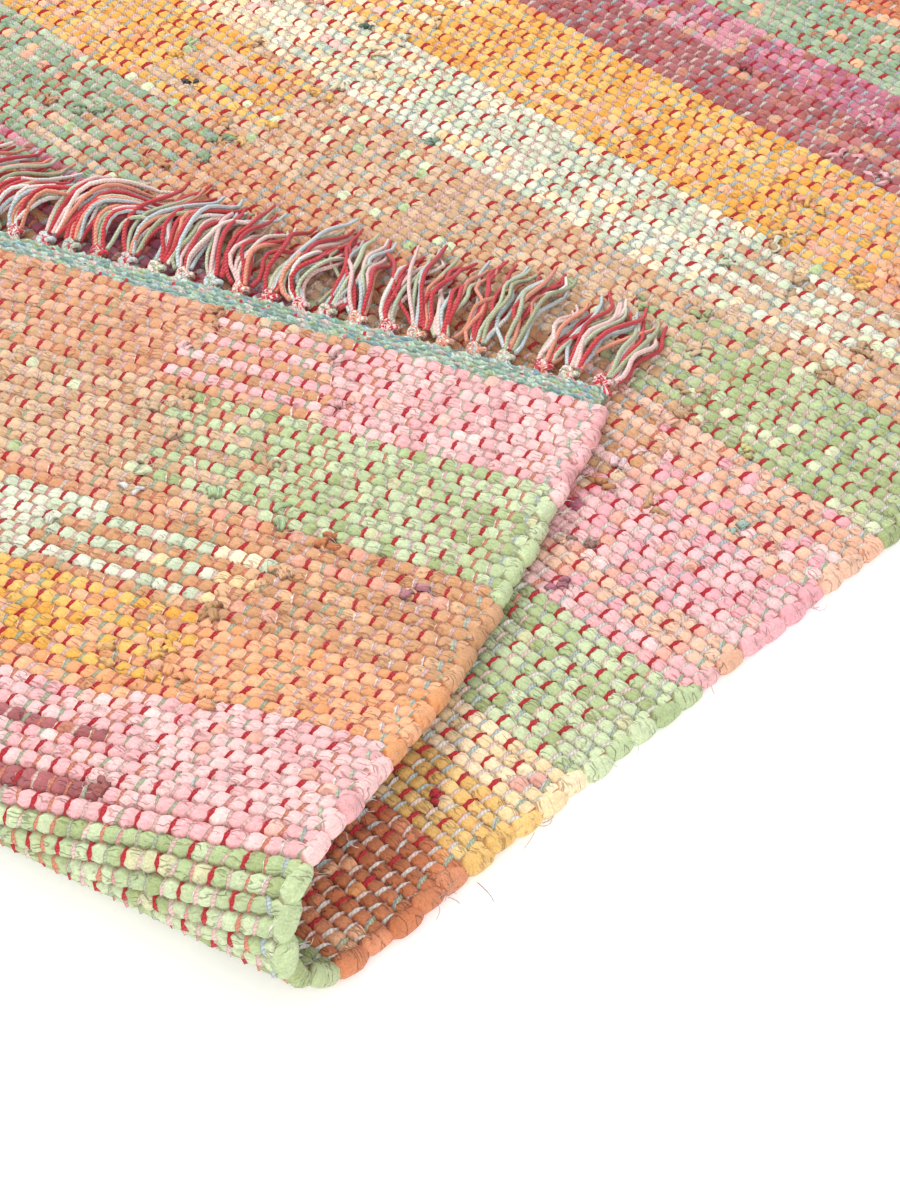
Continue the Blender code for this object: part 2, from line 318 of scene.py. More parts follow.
def rag_colour(pick, warp, face):
    """Linear colour of the rag at a pick and a warp place, with a shade for each bead."""
    pick = np.clip(pick, 0, PICKS - 1).astype(int)
    cell = np.clip(warp, 0, WARP_PAIRS).astype(int)
    row = CHART[pick]
    across = warp * WARP
    third = (across > row[..., 3]).astype(int) + (across > row[..., 4]).astype(int)
    rag = np.take_along_axis(row[..., :3].astype(int), third[..., None], -1)[..., 0]
    run, bead = SHADE_RUN[pick, cell], BEAD_DRAW[face, pick, cell]
    stray, change, tone = (one * bead + many * run for one, many in (STRAY_MIX, SHADE_MIX, TONE_MIX))
    rag = np.where(stray > STRAY_FROM[rag], STRAY[rag], rag)
    shade = np.clip(np.floor(USUAL_SHADE + change), 0, SHADES.shape[1] - 1).astype(int)
    colour = SHADES[rag, shade].copy()
    colour[..., :3] *= (1.0 + tone)[..., None]
    return np.clip(colour, 0.0, 1.0)


print("first bead", rag_colour(np.array([0]), np.array([0.0]), 0)[0].round(3))

# %% [markdown]
# ## The woven surface
# On the real rug each bead is a rag squeezed by two warp pairs. The surface is made as a
# height over the flat rug, one formula for both faces: a pick rises from the furrow on
# each side of it, and along the pick it swells between stitches and dips under them.
# The next pick is half a step further, so its beads sit between these, and each furrow
# winds between the two rows. A grid of four columns and three rows for each bead is
# enough, with smooth shading, and finer creases are left to the material.

# %% Height of the weave
FURROW = 1.3 * MM
NECK = 2.35 * MM
BEAD_TOP = 3.5 * MM
WINDING = 0.4 * MM
WOBBLE = 0.35 * MM
CRUMPLE = 0.1 * MM
BEAD_SPREAD = 0.28 * MM
BEAD_SLIDE = 0.18 * MM
# how square the section of a pick is, and how flat its beads are along it
PICK_SQUARE = 3.4
BEAD_FLAT = 3.0
PLAIN_SWELL = 0.8
FLOOR_CLEAR = 0.05 * MM
ROW_SPOTS = np.array((-0.5, -0.3, 0.3))
RIB_SPOTS = np.array((-0.5, 0.0))
RIB_WARPS = 9
WOBBLES = run_noise(33, 26)


def swell(warp, pick, face):
    """0 under a stitch, 1 on a bead, along a pick. face is 0 for front, 1 for back."""
    sign = np.where((pick + face) % 2 == 0, 1.0, -1.0)
    wave = 0.5 - 0.5 * sign * np.cos(pi * (warp - 0.5))
    return 1.0 - (1.0 - wave) ** BEAD_FLAT


def furrow_shift(boundary, warp, face):
    """How far the furrow before a pick is pushed along the rug by its beads."""
    sign = np.where((boundary + face) % 2 == 0, 1.0, -1.0)
    cell = np.clip(warp, 0, WARP_PAIRS).astype(int)
    wobble = WOBBLES[np.clip(boundary, 0, PICKS - 1), cell]
    return WINDING * sign * np.cos(pi * (warp - 0.5)) + WOBBLE * wobble


def weave_points(pick, spot, warp, face, beads=True):
    """Points of one face, and how sunk each is, for a column of picks and a row of warps."""
    draw = np.random.default_rng(900 + int(pick[0]) + face)
    pick, spot, warp = np.broadcast_arrays(pick[:, None], spot[:, None], warp[None, :])
    last = pick >= PICKS
    here = np.where(last, PICKS - 1, pick)
    cell = np.clip(warp, 0, WARP_PAIRS).astype(int)
    bead = BEAD_DRAW[face, here, cell]
    rise = np.sqrt(1.0 - np.abs(2 * spot) ** PICK_SQUARE)
    wave = swell(warp, here, face) if beads else PLAIN_SWELL
    ridge = NECK + (BEAD_TOP + BEAD_SPREAD * bead - NECK) * wave
    above = FURROW + (ridge - FURROW) * rise
    # how sunk a point is; the rag material paints shade into the furrows from it
    sunk = np.clip((BEAD_TOP - above) / (BEAD_TOP - FURROW), 0.0, 1.0)
    if beads:
        inner = (spot > -0.5) & (warp > warp.min()) & (warp < warp.max())
        above = above + CRUMPLE * inner * draw.normal(0.0, 1.0, above.shape)
    part = spot + 0.5
    shift = furrow_shift(here, warp, face) * (1 - part)
    shift = shift + furrow_shift(here + 1, warp, face) * part
    shift = np.where(last, 0.0, shift) if beads else 0.0
    edge = (warp > 0.01) & (warp < WARP_PAIRS - 0.01) & beads
    slide = np.where(edge, BEAD_SLIDE * np.roll(bead, 1, axis=1), 0.0)
    along = NEAR_END + (pick + 0.5 + spot) * PICK + shift
    side = 1.0 - 2.0 * face
    points = fold(warp * WARP + slide, along, side * above)
    points[..., 2] = np.maximum(points[..., 2], FLOOR_CLEAR)
    return points, sunk


print("rag between", FURROW / MM, "and", BEAD_TOP / MM, "mm from the cloth's middle")

# %% [markdown]
# ## From points to pieces
# The cloth is built in blocks, so that no mesh grows too large and so that faces nobody
# sees, such as the one on the floor, can be plainer. Each block is a closed slab: a
# front, a back and four narrow walls that join them, whatever the number of points on
# each side. Blender takes numpy arrays quickly through foreach_set.


# %% Mesh helpers
FIELDS = {1: ("FLOAT", "value"), 3: ("FLOAT_VECTOR", "vector"), 4: ("FLOAT_COLOR", "color")}


def in_scene(name, data):
    """A new object with its data, linked to the scene."""
    item = bpy.data.objects.new(name, data)
    bpy.context.scene.collection.objects.link(item)
    return item


def write_attribute(mesh, key, values, domain="POINT"):
    """Give a mesh an attribute: one number, three numbers or a colour for each place."""
    values = np.asarray(values, dtype=np.float32)
    kind, field = FIELDS[1 if values.ndim == 1 else values.shape[1]]
    mesh.attributes.new(key, kind, domain).data.foreach_set(field, values.ravel())


def mesh_object(name, points, faces, colours=None, flat=None, walls=0, **attributes):
    """A smooth mesh object from points and triangles or quads, coloured face by face.

    flat is each point's place on the flat rug; the last faces, as many as walls, aren't
    smooth; each of the attributes has a value for every point.
    """
    mesh = bpy.data.meshes.new(name)
    counts = np.array([len(face) for face in faces])
    loops = np.concatenate([np.asarray(face) for face in faces])
    mesh.vertices.add(len(points))
    mesh.vertices.foreach_set("co", np.asarray(points, dtype=np.float32).ravel())
    mesh.loops.add(len(loops))
    mesh.loops.foreach_set("vertex_index", loops.astype(np.int32))
    mesh.polygons.add(len(counts))
    mesh.polygons.foreach_set("loop_start", (np.cumsum(counts) - counts).astype(np.int32))
    mesh.polygons.foreach_set("use_smooth", np.arange(len(counts)) < len(counts) - walls)
    mesh.update(calc_edges=True)
    if colours is not None:
        write_attribute(mesh, "dyed", np.repeat(colours, counts, axis=0), "CORNER")
    if flat is not None:
        layer = mesh.uv_layers.new(name="flat")
        layer.data.foreach_set("uv", flat[loops].astype(np.float32).ravel())
    for key, values in attributes.items():
        write_attribute(mesh, key, values)
    mesh.validate()
    return in_scene(name, mesh)


def face_outwards(item):
    """Turn the faces of a closed mesh outwards."""
    mesh = bmesh.new()
    mesh.from_mesh(item.data)
    bmesh.ops.recalc_face_normals(mesh, faces=mesh.faces)
    mesh.to_mesh(item.data)
    mesh.free()
    return item


def triangles(item):
    """How many triangles an object's faces make."""
    return sum(len(polygon.vertices) - 2 for polygon in item.data.polygons)


def grid_faces(rows, columns, first, flip):
    """Quads of a grid of points, row by row."""
    start = first + np.arange(rows - 1)[:, None] * columns + np.arange(columns - 1)[None, :]
    start = start.ravel()
    if flip:
        return np.stack((start, start + 1, start + columns + 1, start + columns), axis=1)
    return np.stack((start, start + columns, start + columns + 1, start + 1), axis=1)


def wall_faces(first, second, flip):
    """Triangles between two lines of points, matched by their share of the length."""
    faces = []
    i = j = 0
    while i < len(first) - 1 or j < len(second) - 1:
        next_i = (i + 1) / (len(first) - 1) if i < len(first) - 1 else 2.0
        next_j = (j + 1) / (len(second) - 1) if j < len(second) - 1 else 2.0
        if next_i <= next_j:
            face = (first[i], first[i + 1], second[j])
            i += 1
        else:
            face = (first[i], second[j + 1], second[j])
            j += 1
        faces.append(face[::-1] if flip else face)
    return faces


print("faces of a grid of 3 by 3 points", len(grid_faces(3, 3, 0, False)))


# %% One block of cloth
def face_of_block(picks, warps, face, fine):
    """Points, sunken shares, colours and flat places of one face of a block."""
    spots = ROW_SPOTS if fine else RIB_SPOTS
    pick = np.append(np.repeat(np.arange(*picks), len(spots)), picks[1])
    spot = np.append(np.tile(spots, picks[1] - picks[0]), -0.5)
    count = (warps[1] - warps[0]) * 2 if fine else max(2, (warps[1] - warps[0]) // RIB_WARPS)
    warp = np.linspace(warps[0], warps[1], count + 1)
    points, sunk = weave_points(pick, spot, warp, face, fine)
    middle = (warp[1:] + warp[:-1]) / 2
    owner = np.repeat(pick[:-1], count).reshape(-1, count)
    places = np.broadcast_to(middle[None, :], owner.shape)
    sign = (owner + face) % 2
    stitch = 2 * np.floor((places - 0.5 - sign) / 2) + 0.5 + sign
    colours = rag_colour(owner, np.where(fine, stitch + 1.0, places), face)
    flat = np.stack(np.broadcast_arrays(warp[None, :] * WARP,
                                        ((pick + spot + 0.5) * PICK)[:, None]), axis=-1)
    return points, sunk.ravel(), colours.reshape(-1, 4), flat.reshape(-1, 2)


def cloth_block(name, picks, warps, front_fine, back_fine):
    """A closed slab of woven cloth between two picks and two warp pairs."""
    front, front_sunk, front_colour, front_flat = face_of_block(picks, warps, 0, front_fine)
    back, back_sunk, back_colour, back_flat = face_of_block(picks, warps, 1, back_fine)
    offset = front.shape[0] * front.shape[1]
    fronts = np.arange(offset).reshape(front.shape[:2])
    backs = offset + np.arange(back.shape[0] * back.shape[1]).reshape(back.shape[:2])
    faces = list(grid_faces(*front.shape[:2], 0, False))
    faces += list(grid_faces(*back.shape[:2], offset, True))
    walls = wall_faces(fronts[0], backs[0], True) + wall_faces(fronts[-1], backs[-1], False)
    walls += wall_faces(fronts[:, 0], backs[:, 0], False) + wall_faces(fronts[:, -1], backs[:, -1], True)
    wall_colour = np.tile(front_colour[0], (len(walls), 1))
    points = np.concatenate((front.reshape(-1, 3), back.reshape(-1, 3)))
    colours = np.concatenate((front_colour, back_colour, wall_colour))
    flat = np.concatenate((front_flat, back_flat))
    return mesh_object(name, points, faces + walls, colours, flat, len(walls),
                       sunk=np.concatenate((front_sunk, back_sunk)))


print("rows of points for each pick", len(ROW_SPOTS), "fine,", len(RIB_SPOTS), "plain")

# %% Cloth blocks
# name, picks, warp pairs, front is fine, back is fine
BLOCKS = (
    ("turned_end", (0, 28), (0, WARP_PAIRS), False, True),
    ("turned_fold_right", (28, 60), (0, 47), True, True),
    ("turned_fold_left", (28, 60), (47, WARP_PAIRS), False, True),
    ("lower_right", (60, 95), (0, 47), True, False),
    ("lower_under_fold", (60, 72), (47, 162), False, False),
    ("lower_left_edge", (60, 72), (162, WARP_PAIRS), True, False),
    ("lower_under_flap", (72, 85), (47, 104), False, False),
    ("lower_left", (72, 85), (104, WARP_PAIRS), True, False),
    ("lower_by_fringe", (85, 95), (47, WARP_PAIRS), True, False),
    ("middle", (95, 132), (0, WARP_PAIRS), True, False),
    ("far", (132, PICKS), (0, WARP_PAIRS), True, False),
)
cloth = []
for row in BLOCKS:
    block = cloth_block(*row)
    cloth.append(block)
    print(block.name, triangles(block), "triangles")

# %% [markdown]
# ## Materials
# Worn cotton has no gloss. Light catches its fibres, which a high roughness with a
# little sheen gives. The colour comes from the cloth's colour attribute. Torn strips
# roll up as they are beaten in, so thin folds and creases run along each weft: two
# noises stretched along the rag draw them, in metres of the flat rug, as lines of
# painted shade and as bump. Cotton that shades itself, in a fold or a furrow, looks
# warmer as well as darker, so the painted shade is a brown that multiplies the colour.
# The height of the weave is a second attribute, and paints shade into the furrows. One
# small function adds a node with its settings and its links.


# %% Node helpers
MATHS, RANGE, ATTRIBUTE = "ShaderNodeMath", "ShaderNodeMapRange", "ShaderNodeAttribute"
TIMES, TIMES_PLUS, LARGER, SINE, MINUS, SIZE_OF = (
    {"operation": name} for name in ("MULTIPLY", "MULTIPLY_ADD", "MAXIMUM", "SINE", "SUBTRACT", "ABSOLUTE"))


def add_node(tree, kind, settings=None, *values, **links):
    """A node of a kind with its settings, and its inputs linked or set, by place or by name.

    A node among the values stands for its first output in use, and _6 is the input at place 6.
    """
    node = tree.nodes.new(kind)
    for name, value in (settings or {}).items():
        setattr(node, name, value)
    inputs = dict(enumerate(values))
    for name, value in links.items():
        inputs[int(name[1:]) if name[0] == "_" else name.replace("_", " ")] = value
    for key, value in inputs.items():
        if isinstance(value, bpy.types.Node):
            value = next(out for out in value.outputs if out.enabled)
        if isinstance(value, bpy.types.NodeSocket):
            tree.links.new(value, node.inputs[key])
        else:
            node.inputs[key].default_value = value
    return node


def stretched_noise(tree, place, scale, detail, rough=0.5):
    """Noise with a scale for each direction, in features for each metre."""
    spread = add_node(tree, "ShaderNodeMapping", Vector=place, Scale=scale)
    return add_node(tree, "ShaderNodeTexNoise", Vector=spread, Scale=1.0, Detail=detail, Roughness=rough)


def from_middle(tree, value):
    """How far a noise is from its middle value, which draws a thin line where it is small."""
    return add_node(tree, MATHS, SIZE_OF, add_node(tree, MATHS, MINUS, value, 0.5))


# the brown that painted shade multiplies a colour by
SHADE_BROWN = linear("ab8878")


def cotton_look(tree, shader, colour, shade, tone, relief, strength, depth):
    """Give a shader its colour, browned where shade is painted and scaled by a tone, and a height as bump.
    """
    kind = {"data_type": "RGBA", "blend_type": "MULTIPLY"}
    browned = add_node(tree, "ShaderNodeMix", kind, shade, _6=colour, _7=SHADE_BROWN)
    toned = add_node(tree, "ShaderNodeVectorMath", {"operation": "SCALE"}, browned.outputs[2], Scale=tone)
    bump = add_node(tree, "ShaderNodeBump", Height=relief, Strength=strength, Distance=depth)
    tree.links.new(toned.outputs[0], shader.inputs["Base Color"])
    tree.links.new(bump.outputs[0], shader.inputs["Normal"])


def new_material(name, roughness, sheen):
    """A matt material, its node tree and its shader."""
    material = bpy.data.materials.new(name)
    material.use_nodes = True
    shader = material.node_tree.nodes["Principled BSDF"]
    shader.inputs["Roughness"].default_value = roughness
    shader.inputs["Sheen Weight"].default_value = sheen
    shader.inputs["Sheen Roughness"].default_value = 0.6
    shader.inputs["Specular IOR Level"].default_value = 0.15
    return material, material.node_tree, shader


def yarn_fuzz(tree):
    """The fine noise of a fuzzy yarn."""
    place = add_node(tree, "ShaderNodeTexCoord").outputs["Object"]
    return stretched_noise(tree, place, (1300.0, 1300.0, 1300.0), 2.0)


print("shade brown", SHADE_BROWN[:3].round(3))


# %% Cotton materials
def rag_material():
    """Torn cotton cloth, rolled and beaten in: matt, with folds along the weft.

    The folds are bump and thin lines of painted shade, and the furrows get painted shade
    from the weave's height. Real folds are about 0.2 mm wide; they are drawn a little wider, or they
    wouldn't show.
    """
    material, tree, shader = new_material("torn_cotton_rag", 0.95, 0.15)
    place = add_node(tree, "ShaderNodeUVMap", {"uv_map": "flat"})
    dyed, sunk = (add_node(tree, ATTRIBUTE, {"attribute_name": name}) for name in ("dyed", "sunk"))
    folds = from_middle(tree, stretched_noise(tree, place, (150.0, 560.0, 1.0), 1.0))
    some = stretched_noise(tree, place, (110.0, 330.0, 1.0), 1.0)
    line = add_node(tree, MATHS, TIMES, add_node(tree, RANGE, None, folds, 0.0, 0.045, 1.0, 0.0),
                    add_node(tree, RANGE, None, some, 0.46, 0.6, 0.0, 1.0))
    creases = stretched_noise(tree, place, (330.0, 1250.0, 1.0), 2.0, 0.6)
    cloth_grain = stretched_noise(tree, place, (1600.0, 1600.0, 1.0), 1.0)
    fading = stretched_noise(tree, place, (70.0, 210.0, 1.0), 2.0)
    lint = from_middle(tree, stretched_noise(tree, place, (380.0, 380.0, 1.0), 1.0))
    # the crease noise also paints shade: where its bump is low, the colour is darker
    tone = add_node(tree, RANGE, None, creases, 0.3, 0.7, 0.91, 1.08)
    for pattern, *ends in ((cloth_grain, 0.3, 0.7, 0.9, 1.09), (fading, 0.3, 0.7, 0.94, 1.08),
                           (lint, 0.0, 0.03, 1.13, 1.0)):
        tone = add_node(tree, MATHS, TIMES, tone, add_node(tree, RANGE, None, pattern, *ends))
    # painted shade: the fold lines and the furrows, browned by cotton_look
    shade = add_node(tree, MATHS, LARGER, add_node(tree, MATHS, TIMES, line, 0.6),
                     add_node(tree, RANGE, None, sunk.outputs["Fac"], 0.35, 1.0, 0.0, 0.75))
    relief = add_node(tree, MATHS, TIMES_PLUS, creases, 0.75, add_node(tree, MATHS, TIMES, line, -0.45))
    relief = add_node(tree, MATHS, TIMES_PLUS, cloth_grain, 0.15, relief)
    cotton_look(tree, shader, dyed, shade, tone, relief, 0.9, 1.0 * MM)
    return material


RAG_COTTON = rag_material()
for block in cloth:
    block.data.materials.append(RAG_COTTON)


def yarn_material():
    """Plied cotton yarn: matt and fuzzy, with the plies as fine slanting ridges of bump and painted shade.
    """
    material, tree, shader = new_material("plied_cotton_yarn", 0.9, 0.25)
    dyed, sunk, turns = (add_node(tree, ATTRIBUTE, {"attribute_name": name})
                         for name in ("dyed", "sunk", "turns"))
    ply = add_node(tree, MATHS, SINE, turns.outputs["Fac"])
    fuzz = yarn_fuzz(tree)
    tone = add_node(tree, RANGE, None, fuzz, 0.3, 0.7, 0.86, 1.2)
    # painted shade in the grooves between plies and in the heading's grooves between rows
    shade = add_node(tree, MATHS, LARGER, add_node(tree, RANGE, None, ply, -1.0, 0.1, 0.4, 0.0),
                     add_node(tree, RANGE, None, sunk.outputs["Fac"], 0.2, 1.0, 0.0, 0.9))
    relief = add_node(tree, MATHS, TIMES_PLUS, fuzz, 0.9, ply)
    cotton_look(tree, shader, dyed, shade, tone, relief, 0.7, 0.3 * MM)
    return material


YARN_COTTON = yarn_material()
print("materials", [m.name for m in (RAG_COTTON, YARN_COTTON)])

# %% [markdown]
# ## Warp stitches
# Each warp pair passes over every second pick and shows as one short stitch of two
# yarns. Thousands of the same small shape are what Geometry Nodes do well: the points
# where stitches lie are a mesh with a turn, a size and two colours for each, and one
# arched stitch is set on all of them. The red yarns stand out on the rug, every third
# or fourth pair, among pink, off-white, coral, grey blue and sage ones.

# %% Warp colours
YARNS = {
    "red": "c9353d", "coral": "e6977a", "rosy": "e9aca6", "pink": "f4cfc9", "blush": "f4ded3",
    "sky": "c4d2d3", "sage": "bfc9a9", "olive": "aeb48e", "white": "efebe3",
}
PLAIN_PAIRS = (
    ("pink", "sky"), ("coral", "blush"), ("sage", "sky"), ("pink", "blush"), ("coral", "pink"),
    ("blush", "coral"), ("sage", "pink"), ("pink", "white"), ("coral", "white"), ("rosy", "sky"),
)
EDGE_PAIRS = (("sage", "white"), ("sky", "sage"))
FIRST_RED = 5
RED_EVERY = (3, 5)
BOTH_RED = 0.75


def warp_colours():
    """Two yarn colours for each warp pair, with a red one every third or fourth pair."""
    draw = np.random.default_rng(17)
    pairs = []
    next_red = FIRST_RED
    for pair in range(WARP_PAIRS):
        from_edge = min(pair, WARP_PAIRS - 1 - pair)
        if from_edge < len(EDGE_PAIRS):
            names = EDGE_PAIRS[from_edge]
        elif pair == next_red:
            names = ("red", "red" if draw.random() < BOTH_RED else "blush")
            next_red += int(draw.integers(*RED_EVERY))
        else:
            names = PLAIN_PAIRS[int(draw.integers(len(PLAIN_PAIRS)))]
        pairs.append([linear(YARNS[name]) for name in names])
    return np.array(pairs)


WARP_COLOURS = warp_colours()
RED_PAIRS = np.all(WARP_COLOURS[:, 0] == linear(YARNS["red"]), axis=1)
print(RED_PAIRS.sum(), "of", WARP_PAIRS, "warp pairs are red")


# %% Where the stitches lie
STITCH_SPREAD = 0.12 * MM
# mean and spread of a stitch's lean, in radians, and of its width
STITCH_LEAN = (0.10, 0.17)
STITCH_WIDTH = (0.95, 0.14)
RED_WIDER, EDGE_WIDER = 1.2, 1.3
EDGE_LEAN = 0.35


def local_frame(across, along, face, lean):
    """Euler turns that set a stitch's length along the warp and its top outwards."""
    step = 0.4 * MM
    side = 1.0 - 2.0 * face
    ahead = fold(across, along + step) - fold(across, along - step)
    out = fold(across, along, side * step) - fold(across, along, -side * step)
    ahead /= np.linalg.norm(ahead, axis=1)[:, None]
    out -= ahead * np.sum(ahead * out, axis=1)[:, None]
    out /= np.linalg.norm(out, axis=1)[:, None]
    beside = np.cross(ahead, out)
    tilt = ahead * np.cos(lean)[:, None] + beside * np.sin(lean)[:, None]
    beside = np.cross(tilt, out)
    return np.stack((np.arctan2(tilt[:, 2], out[:, 2]), np.arcsin(np.clip(-beside[:, 2], -1, 1)),
                     np.arctan2(beside[:, 1], beside[:, 0])), axis=1)


def stitch_points(face, picks, warps):
    """Places, turns, sizes and colours of the stitches on one face of a block."""
    draw = np.random.default_rng(100 * face + picks[0] + warps[0])
    pick, pair = np.meshgrid(np.arange(*picks), np.arange(*warps), indexing="ij")
    chosen = (pick + pair + face) % 2 == 0
    pick, pair = pick[chosen], pair[chosen]
    count = len(pick)
    across = (pair + 0.5) * WARP + draw.normal(0, STITCH_SPREAD, count)
    shift = (furrow_shift(pick, pair + 0.5, face) + furrow_shift(pick + 1, pair + 0.5, face)) / 2
    along = NEAR_END + (pick + 0.5) * PICK + shift
    lean = draw.normal(*STITCH_LEAN, count)
    size = np.clip(draw.normal(*STITCH_WIDTH, count), 0.6, 1.4)
    size = size * np.where(RED_PAIRS[pair], RED_WIDER, 1.0)
    at_edge = np.minimum(pair, WARP_PAIRS - 1 - pair) < len(EDGE_PAIRS)
    size = np.where(at_edge, size * EDGE_WIDER, size)
    lean = np.where(at_edge, lean + np.where(pair % 2 == 0, EDGE_LEAN, -EDGE_LEAN), lean)
    return fold(across, along), local_frame(across, along, face, lean), size, WARP_COLOURS[pair]


def stitch_shape():
    """One arched stitch, closed. Its lay attribute tells how far across and along it is."""
    half, high = 1.2 * MM, 0.8 * MM
    # along the warp, height of its middle, share of its width
    rings = ((-2.95, 1.75, 0.8), (0.0, 3.1, 1.0), (2.95, 1.75, 0.8))
    points, lay = [], []
    for along, height, share in rings:
        for side, up in ((-1, -1), (0, 1), (1, -1)):
            points.append((side * half * share, along * MM, height * MM + up * high))
            lay.append((side, along, 0.0))
    faces = [(0, 1, 2), (8, 7, 6)]
    for a in (0, 3):
        faces += [(a, a + 3, a + 4, a + 1), (a + 1, a + 4, a + 5, a + 2), (a + 2, a + 5, a + 3, a)]
    return mesh_object("stitch_shape", np.array(points), faces, lay=lay)


print("stitches on one pick", len(stitch_points(0, (0, 1), (0, WARP_PAIRS))[0]))


# %% The stitching tree
NAMED, STORE = "GeometryNodeInputNamedAttribute", "GeometryNodeStoreNamedAttribute"


def new_tree(name, **inputs):
    """A Geometry Nodes tree with named inputs, their identifiers, and what its input gives."""
    tree = bpy.data.node_groups.new(name, "GeometryNodeTree")
    tree.interface.new_socket("Geometry", in_out="INPUT", socket_type="NodeSocketGeometry")
    keys = {}
    for key, (kind, value) in inputs.items():
        socket = tree.interface.new_socket(key, in_out="INPUT", socket_type="NodeSocket" + kind)
        if value is not None:
            socket.default_value = value
        keys[key] = socket.identifier
    tree.interface.new_socket("Geometry", in_out="OUTPUT", socket_type="NodeSocketGeometry")
    return tree, keys, tree.nodes.new("NodeGroupInput").outputs


def close_tree(tree, geometry, finish):
    """End a tree with its geometry as plain mesh, in one material."""
    real = add_node(tree, "GeometryNodeRealizeInstances", Geometry=geometry)
    finished = add_node(tree, "GeometryNodeSetMaterial", Geometry=real, Material=finish)
    add_node(tree, "NodeGroupOutput", None, finished)


def stitch_tree():
    """A tree that sets one stitch on every point, turned and sized, as plain mesh."""
    tree, keys, given = new_tree("warp_stitches", Stitch=("Object", None), Size=("Float", 1.0),
                                 Finish=("Material", None))
    shape = add_node(tree, "GeometryNodeObjectInfo", Object=given["Stitch"]).outputs["Geometry"]
    size = add_node(tree, NAMED, {"data_type": "FLOAT"}, Name="size")
    turn = add_node(tree, NAMED, {"data_type": "FLOAT_VECTOR"}, Name="turn")
    width = add_node(tree, MATHS, TIMES, size, given["Size"])
    turned = add_node(tree, "FunctionNodeEulerToRotation", Euler=turn)
    across = add_node(tree, "ShaderNodeCombineXYZ", X=width, Y=1.0, Z=1.0)
    placed = add_node(tree, "GeometryNodeInstanceOnPoints", Points=given["Geometry"], Instance=shape,
                      Rotation=turned, Scale=across)
    close_tree(tree, placed, given["Finish"])
    return tree, keys


def grown(item, tree, keys, **values):
    """The plain mesh that a tree, with values for its inputs, makes in place of an object's."""
    modifier = item.modifiers.new(tree.name, "NODES")
    modifier.node_group = tree
    for key, value in values.items():
        modifier[keys[key]] = value
    bpy.context.view_layer.update()
    mesh = bpy.data.meshes.new_from_object(item.evaluated_get(bpy.context.evaluated_depsgraph_get()))
    item.modifiers.clear()
    old = item.data
    item.data = mesh
    mesh.name = item.name
    bpy.data.meshes.remove(old)
    return item


def points_object(name, points, **attributes):
    """Loose points with attributes: one number, three numbers or a colour for each."""
    mesh = bpy.data.meshes.new(name)
    mesh.vertices.add(len(points))
    mesh.vertices.foreach_set("co", points.astype(np.float32).ravel())
    for key, values in attributes.items():
        write_attribute(mesh, key, values)
    return in_scene(name, mesh)


STITCH_TREE, STITCH_KEYS = stitch_tree()
print("stitching tree", len(STITCH_TREE.nodes), "nodes")

# %% Stitches on every face that shows
STITCH_SHAPE = stitch_shape()
# name, then for each area: face, picks, warp pairs
STITCHED = (
    ("stitches_turned", ((1, (0, 60), (0, WARP_PAIRS)), (0, (30, 60), (0, 47)))),
    ("stitches_near", ((0, (60, 95), (0, 47)), (0, (60, 72), (162, WARP_PAIRS)),
                       (0, (72, 85), (104, WARP_PAIRS)), (0, (85, 95), (47, WARP_PAIRS)))),
    ("stitches_middle", ((0, (95, 132), (0, WARP_PAIRS)),)),
    ("stitches_far", ((0, (132, PICKS), (0, WARP_PAIRS)),)),
)


def stitch_material():
    """Two plied yarns side by side, each in its own colour, with a line of painted shade between them."""
    material, tree, shader = new_material("paired_warp_yarn", 0.9, 0.2)
    lay, first, second = (add_node(tree, ATTRIBUTE, {"attribute_name": name})
                          for name in ("lay", "first_yarn", "second_yarn"))
    lay = add_node(tree, "ShaderNodeSeparateXYZ", None, lay.outputs["Vector"]).outputs
    side = add_node(tree, MATHS, {"operation": "GREATER_THAN"}, lay["X"], 0.0)
    mixed = add_node(tree, "ShaderNodeMix", {"data_type": "RGBA"}, side, _6=first, _7=second)
    across = add_node(tree, MATHS, TIMES_PLUS, add_node(tree, MATHS, SIZE_OF, lay["X"]), 2.0, -1.0)
    lobe = add_node(tree, MATHS, MINUS, 1.0, add_node(tree, MATHS, TIMES, across, across))
    slant = add_node(tree, MATHS, TIMES_PLUS, across, 1.6, add_node(tree, MATHS, TIMES, lay["Y"], 5.0))
    ply = add_node(tree, MATHS, SINE, slant)
    fuzz = yarn_fuzz(tree)
    tone = add_node(tree, RANGE, None, fuzz, 0.3, 0.7, 0.79, 1.05)
    # painted shade between the two yarns, at their outer sides and in the ply grooves
    shade = add_node(tree, MATHS, LARGER, add_node(tree, RANGE, None, lobe, 0.0, 0.5, 0.6, 0.0),
                     add_node(tree, RANGE, None, ply, -1.0, 0.0, 0.35, 0.0))
    relief = add_node(tree, MATHS, TIMES_PLUS, ply, 0.3, lobe)
    relief = add_node(tree, MATHS, TIMES_PLUS, fuzz, 0.5, relief)
    cotton_look(tree, shader, mixed.outputs[2], shade, tone, relief, 0.8, 0.5 * MM)
    return material


STITCH_COTTON = stitch_material()
stitches = []
for name, areas in STITCHED:
    parts = [stitch_points(*area) for area in areas]
    spots, turns, sizes, colours = (np.concatenate(group) for group in zip(*parts))
    item = points_object(name, spots, turn=turns, size=sizes, first_yarn=colours[:, 0],
                         second_yarn=colours[:, 1])
    grown(item, STITCH_TREE, STITCH_KEYS, Stitch=STITCH_SHAPE, Size=1.0, Finish=STITCH_COTTON)
    stitches.append(item)
    print(name, len(spots), "stitches,", triangles(item), "triangles")
bpy.data.objects.remove(STITCH_SHAPE)

# %% [markdown]
# ## Selvedges
# At the edge each rag goes over the last warp, round it and back under it as the next
# pick, so every two picks share one thick turn, and all turns together look like a rope.
# One helper sweeps a closed tube along a path in the flat rug, given as places across,
# along and above it. The rag goes round the edge, so its folds run round the tube too.

# %% Swept tubes of rag
TURN_RADIUS = 3.4 * MM
TUBE_SIDES = 8
TUBE_BULGE, BULGE_EVERY = 0.05, 2.5 * MM


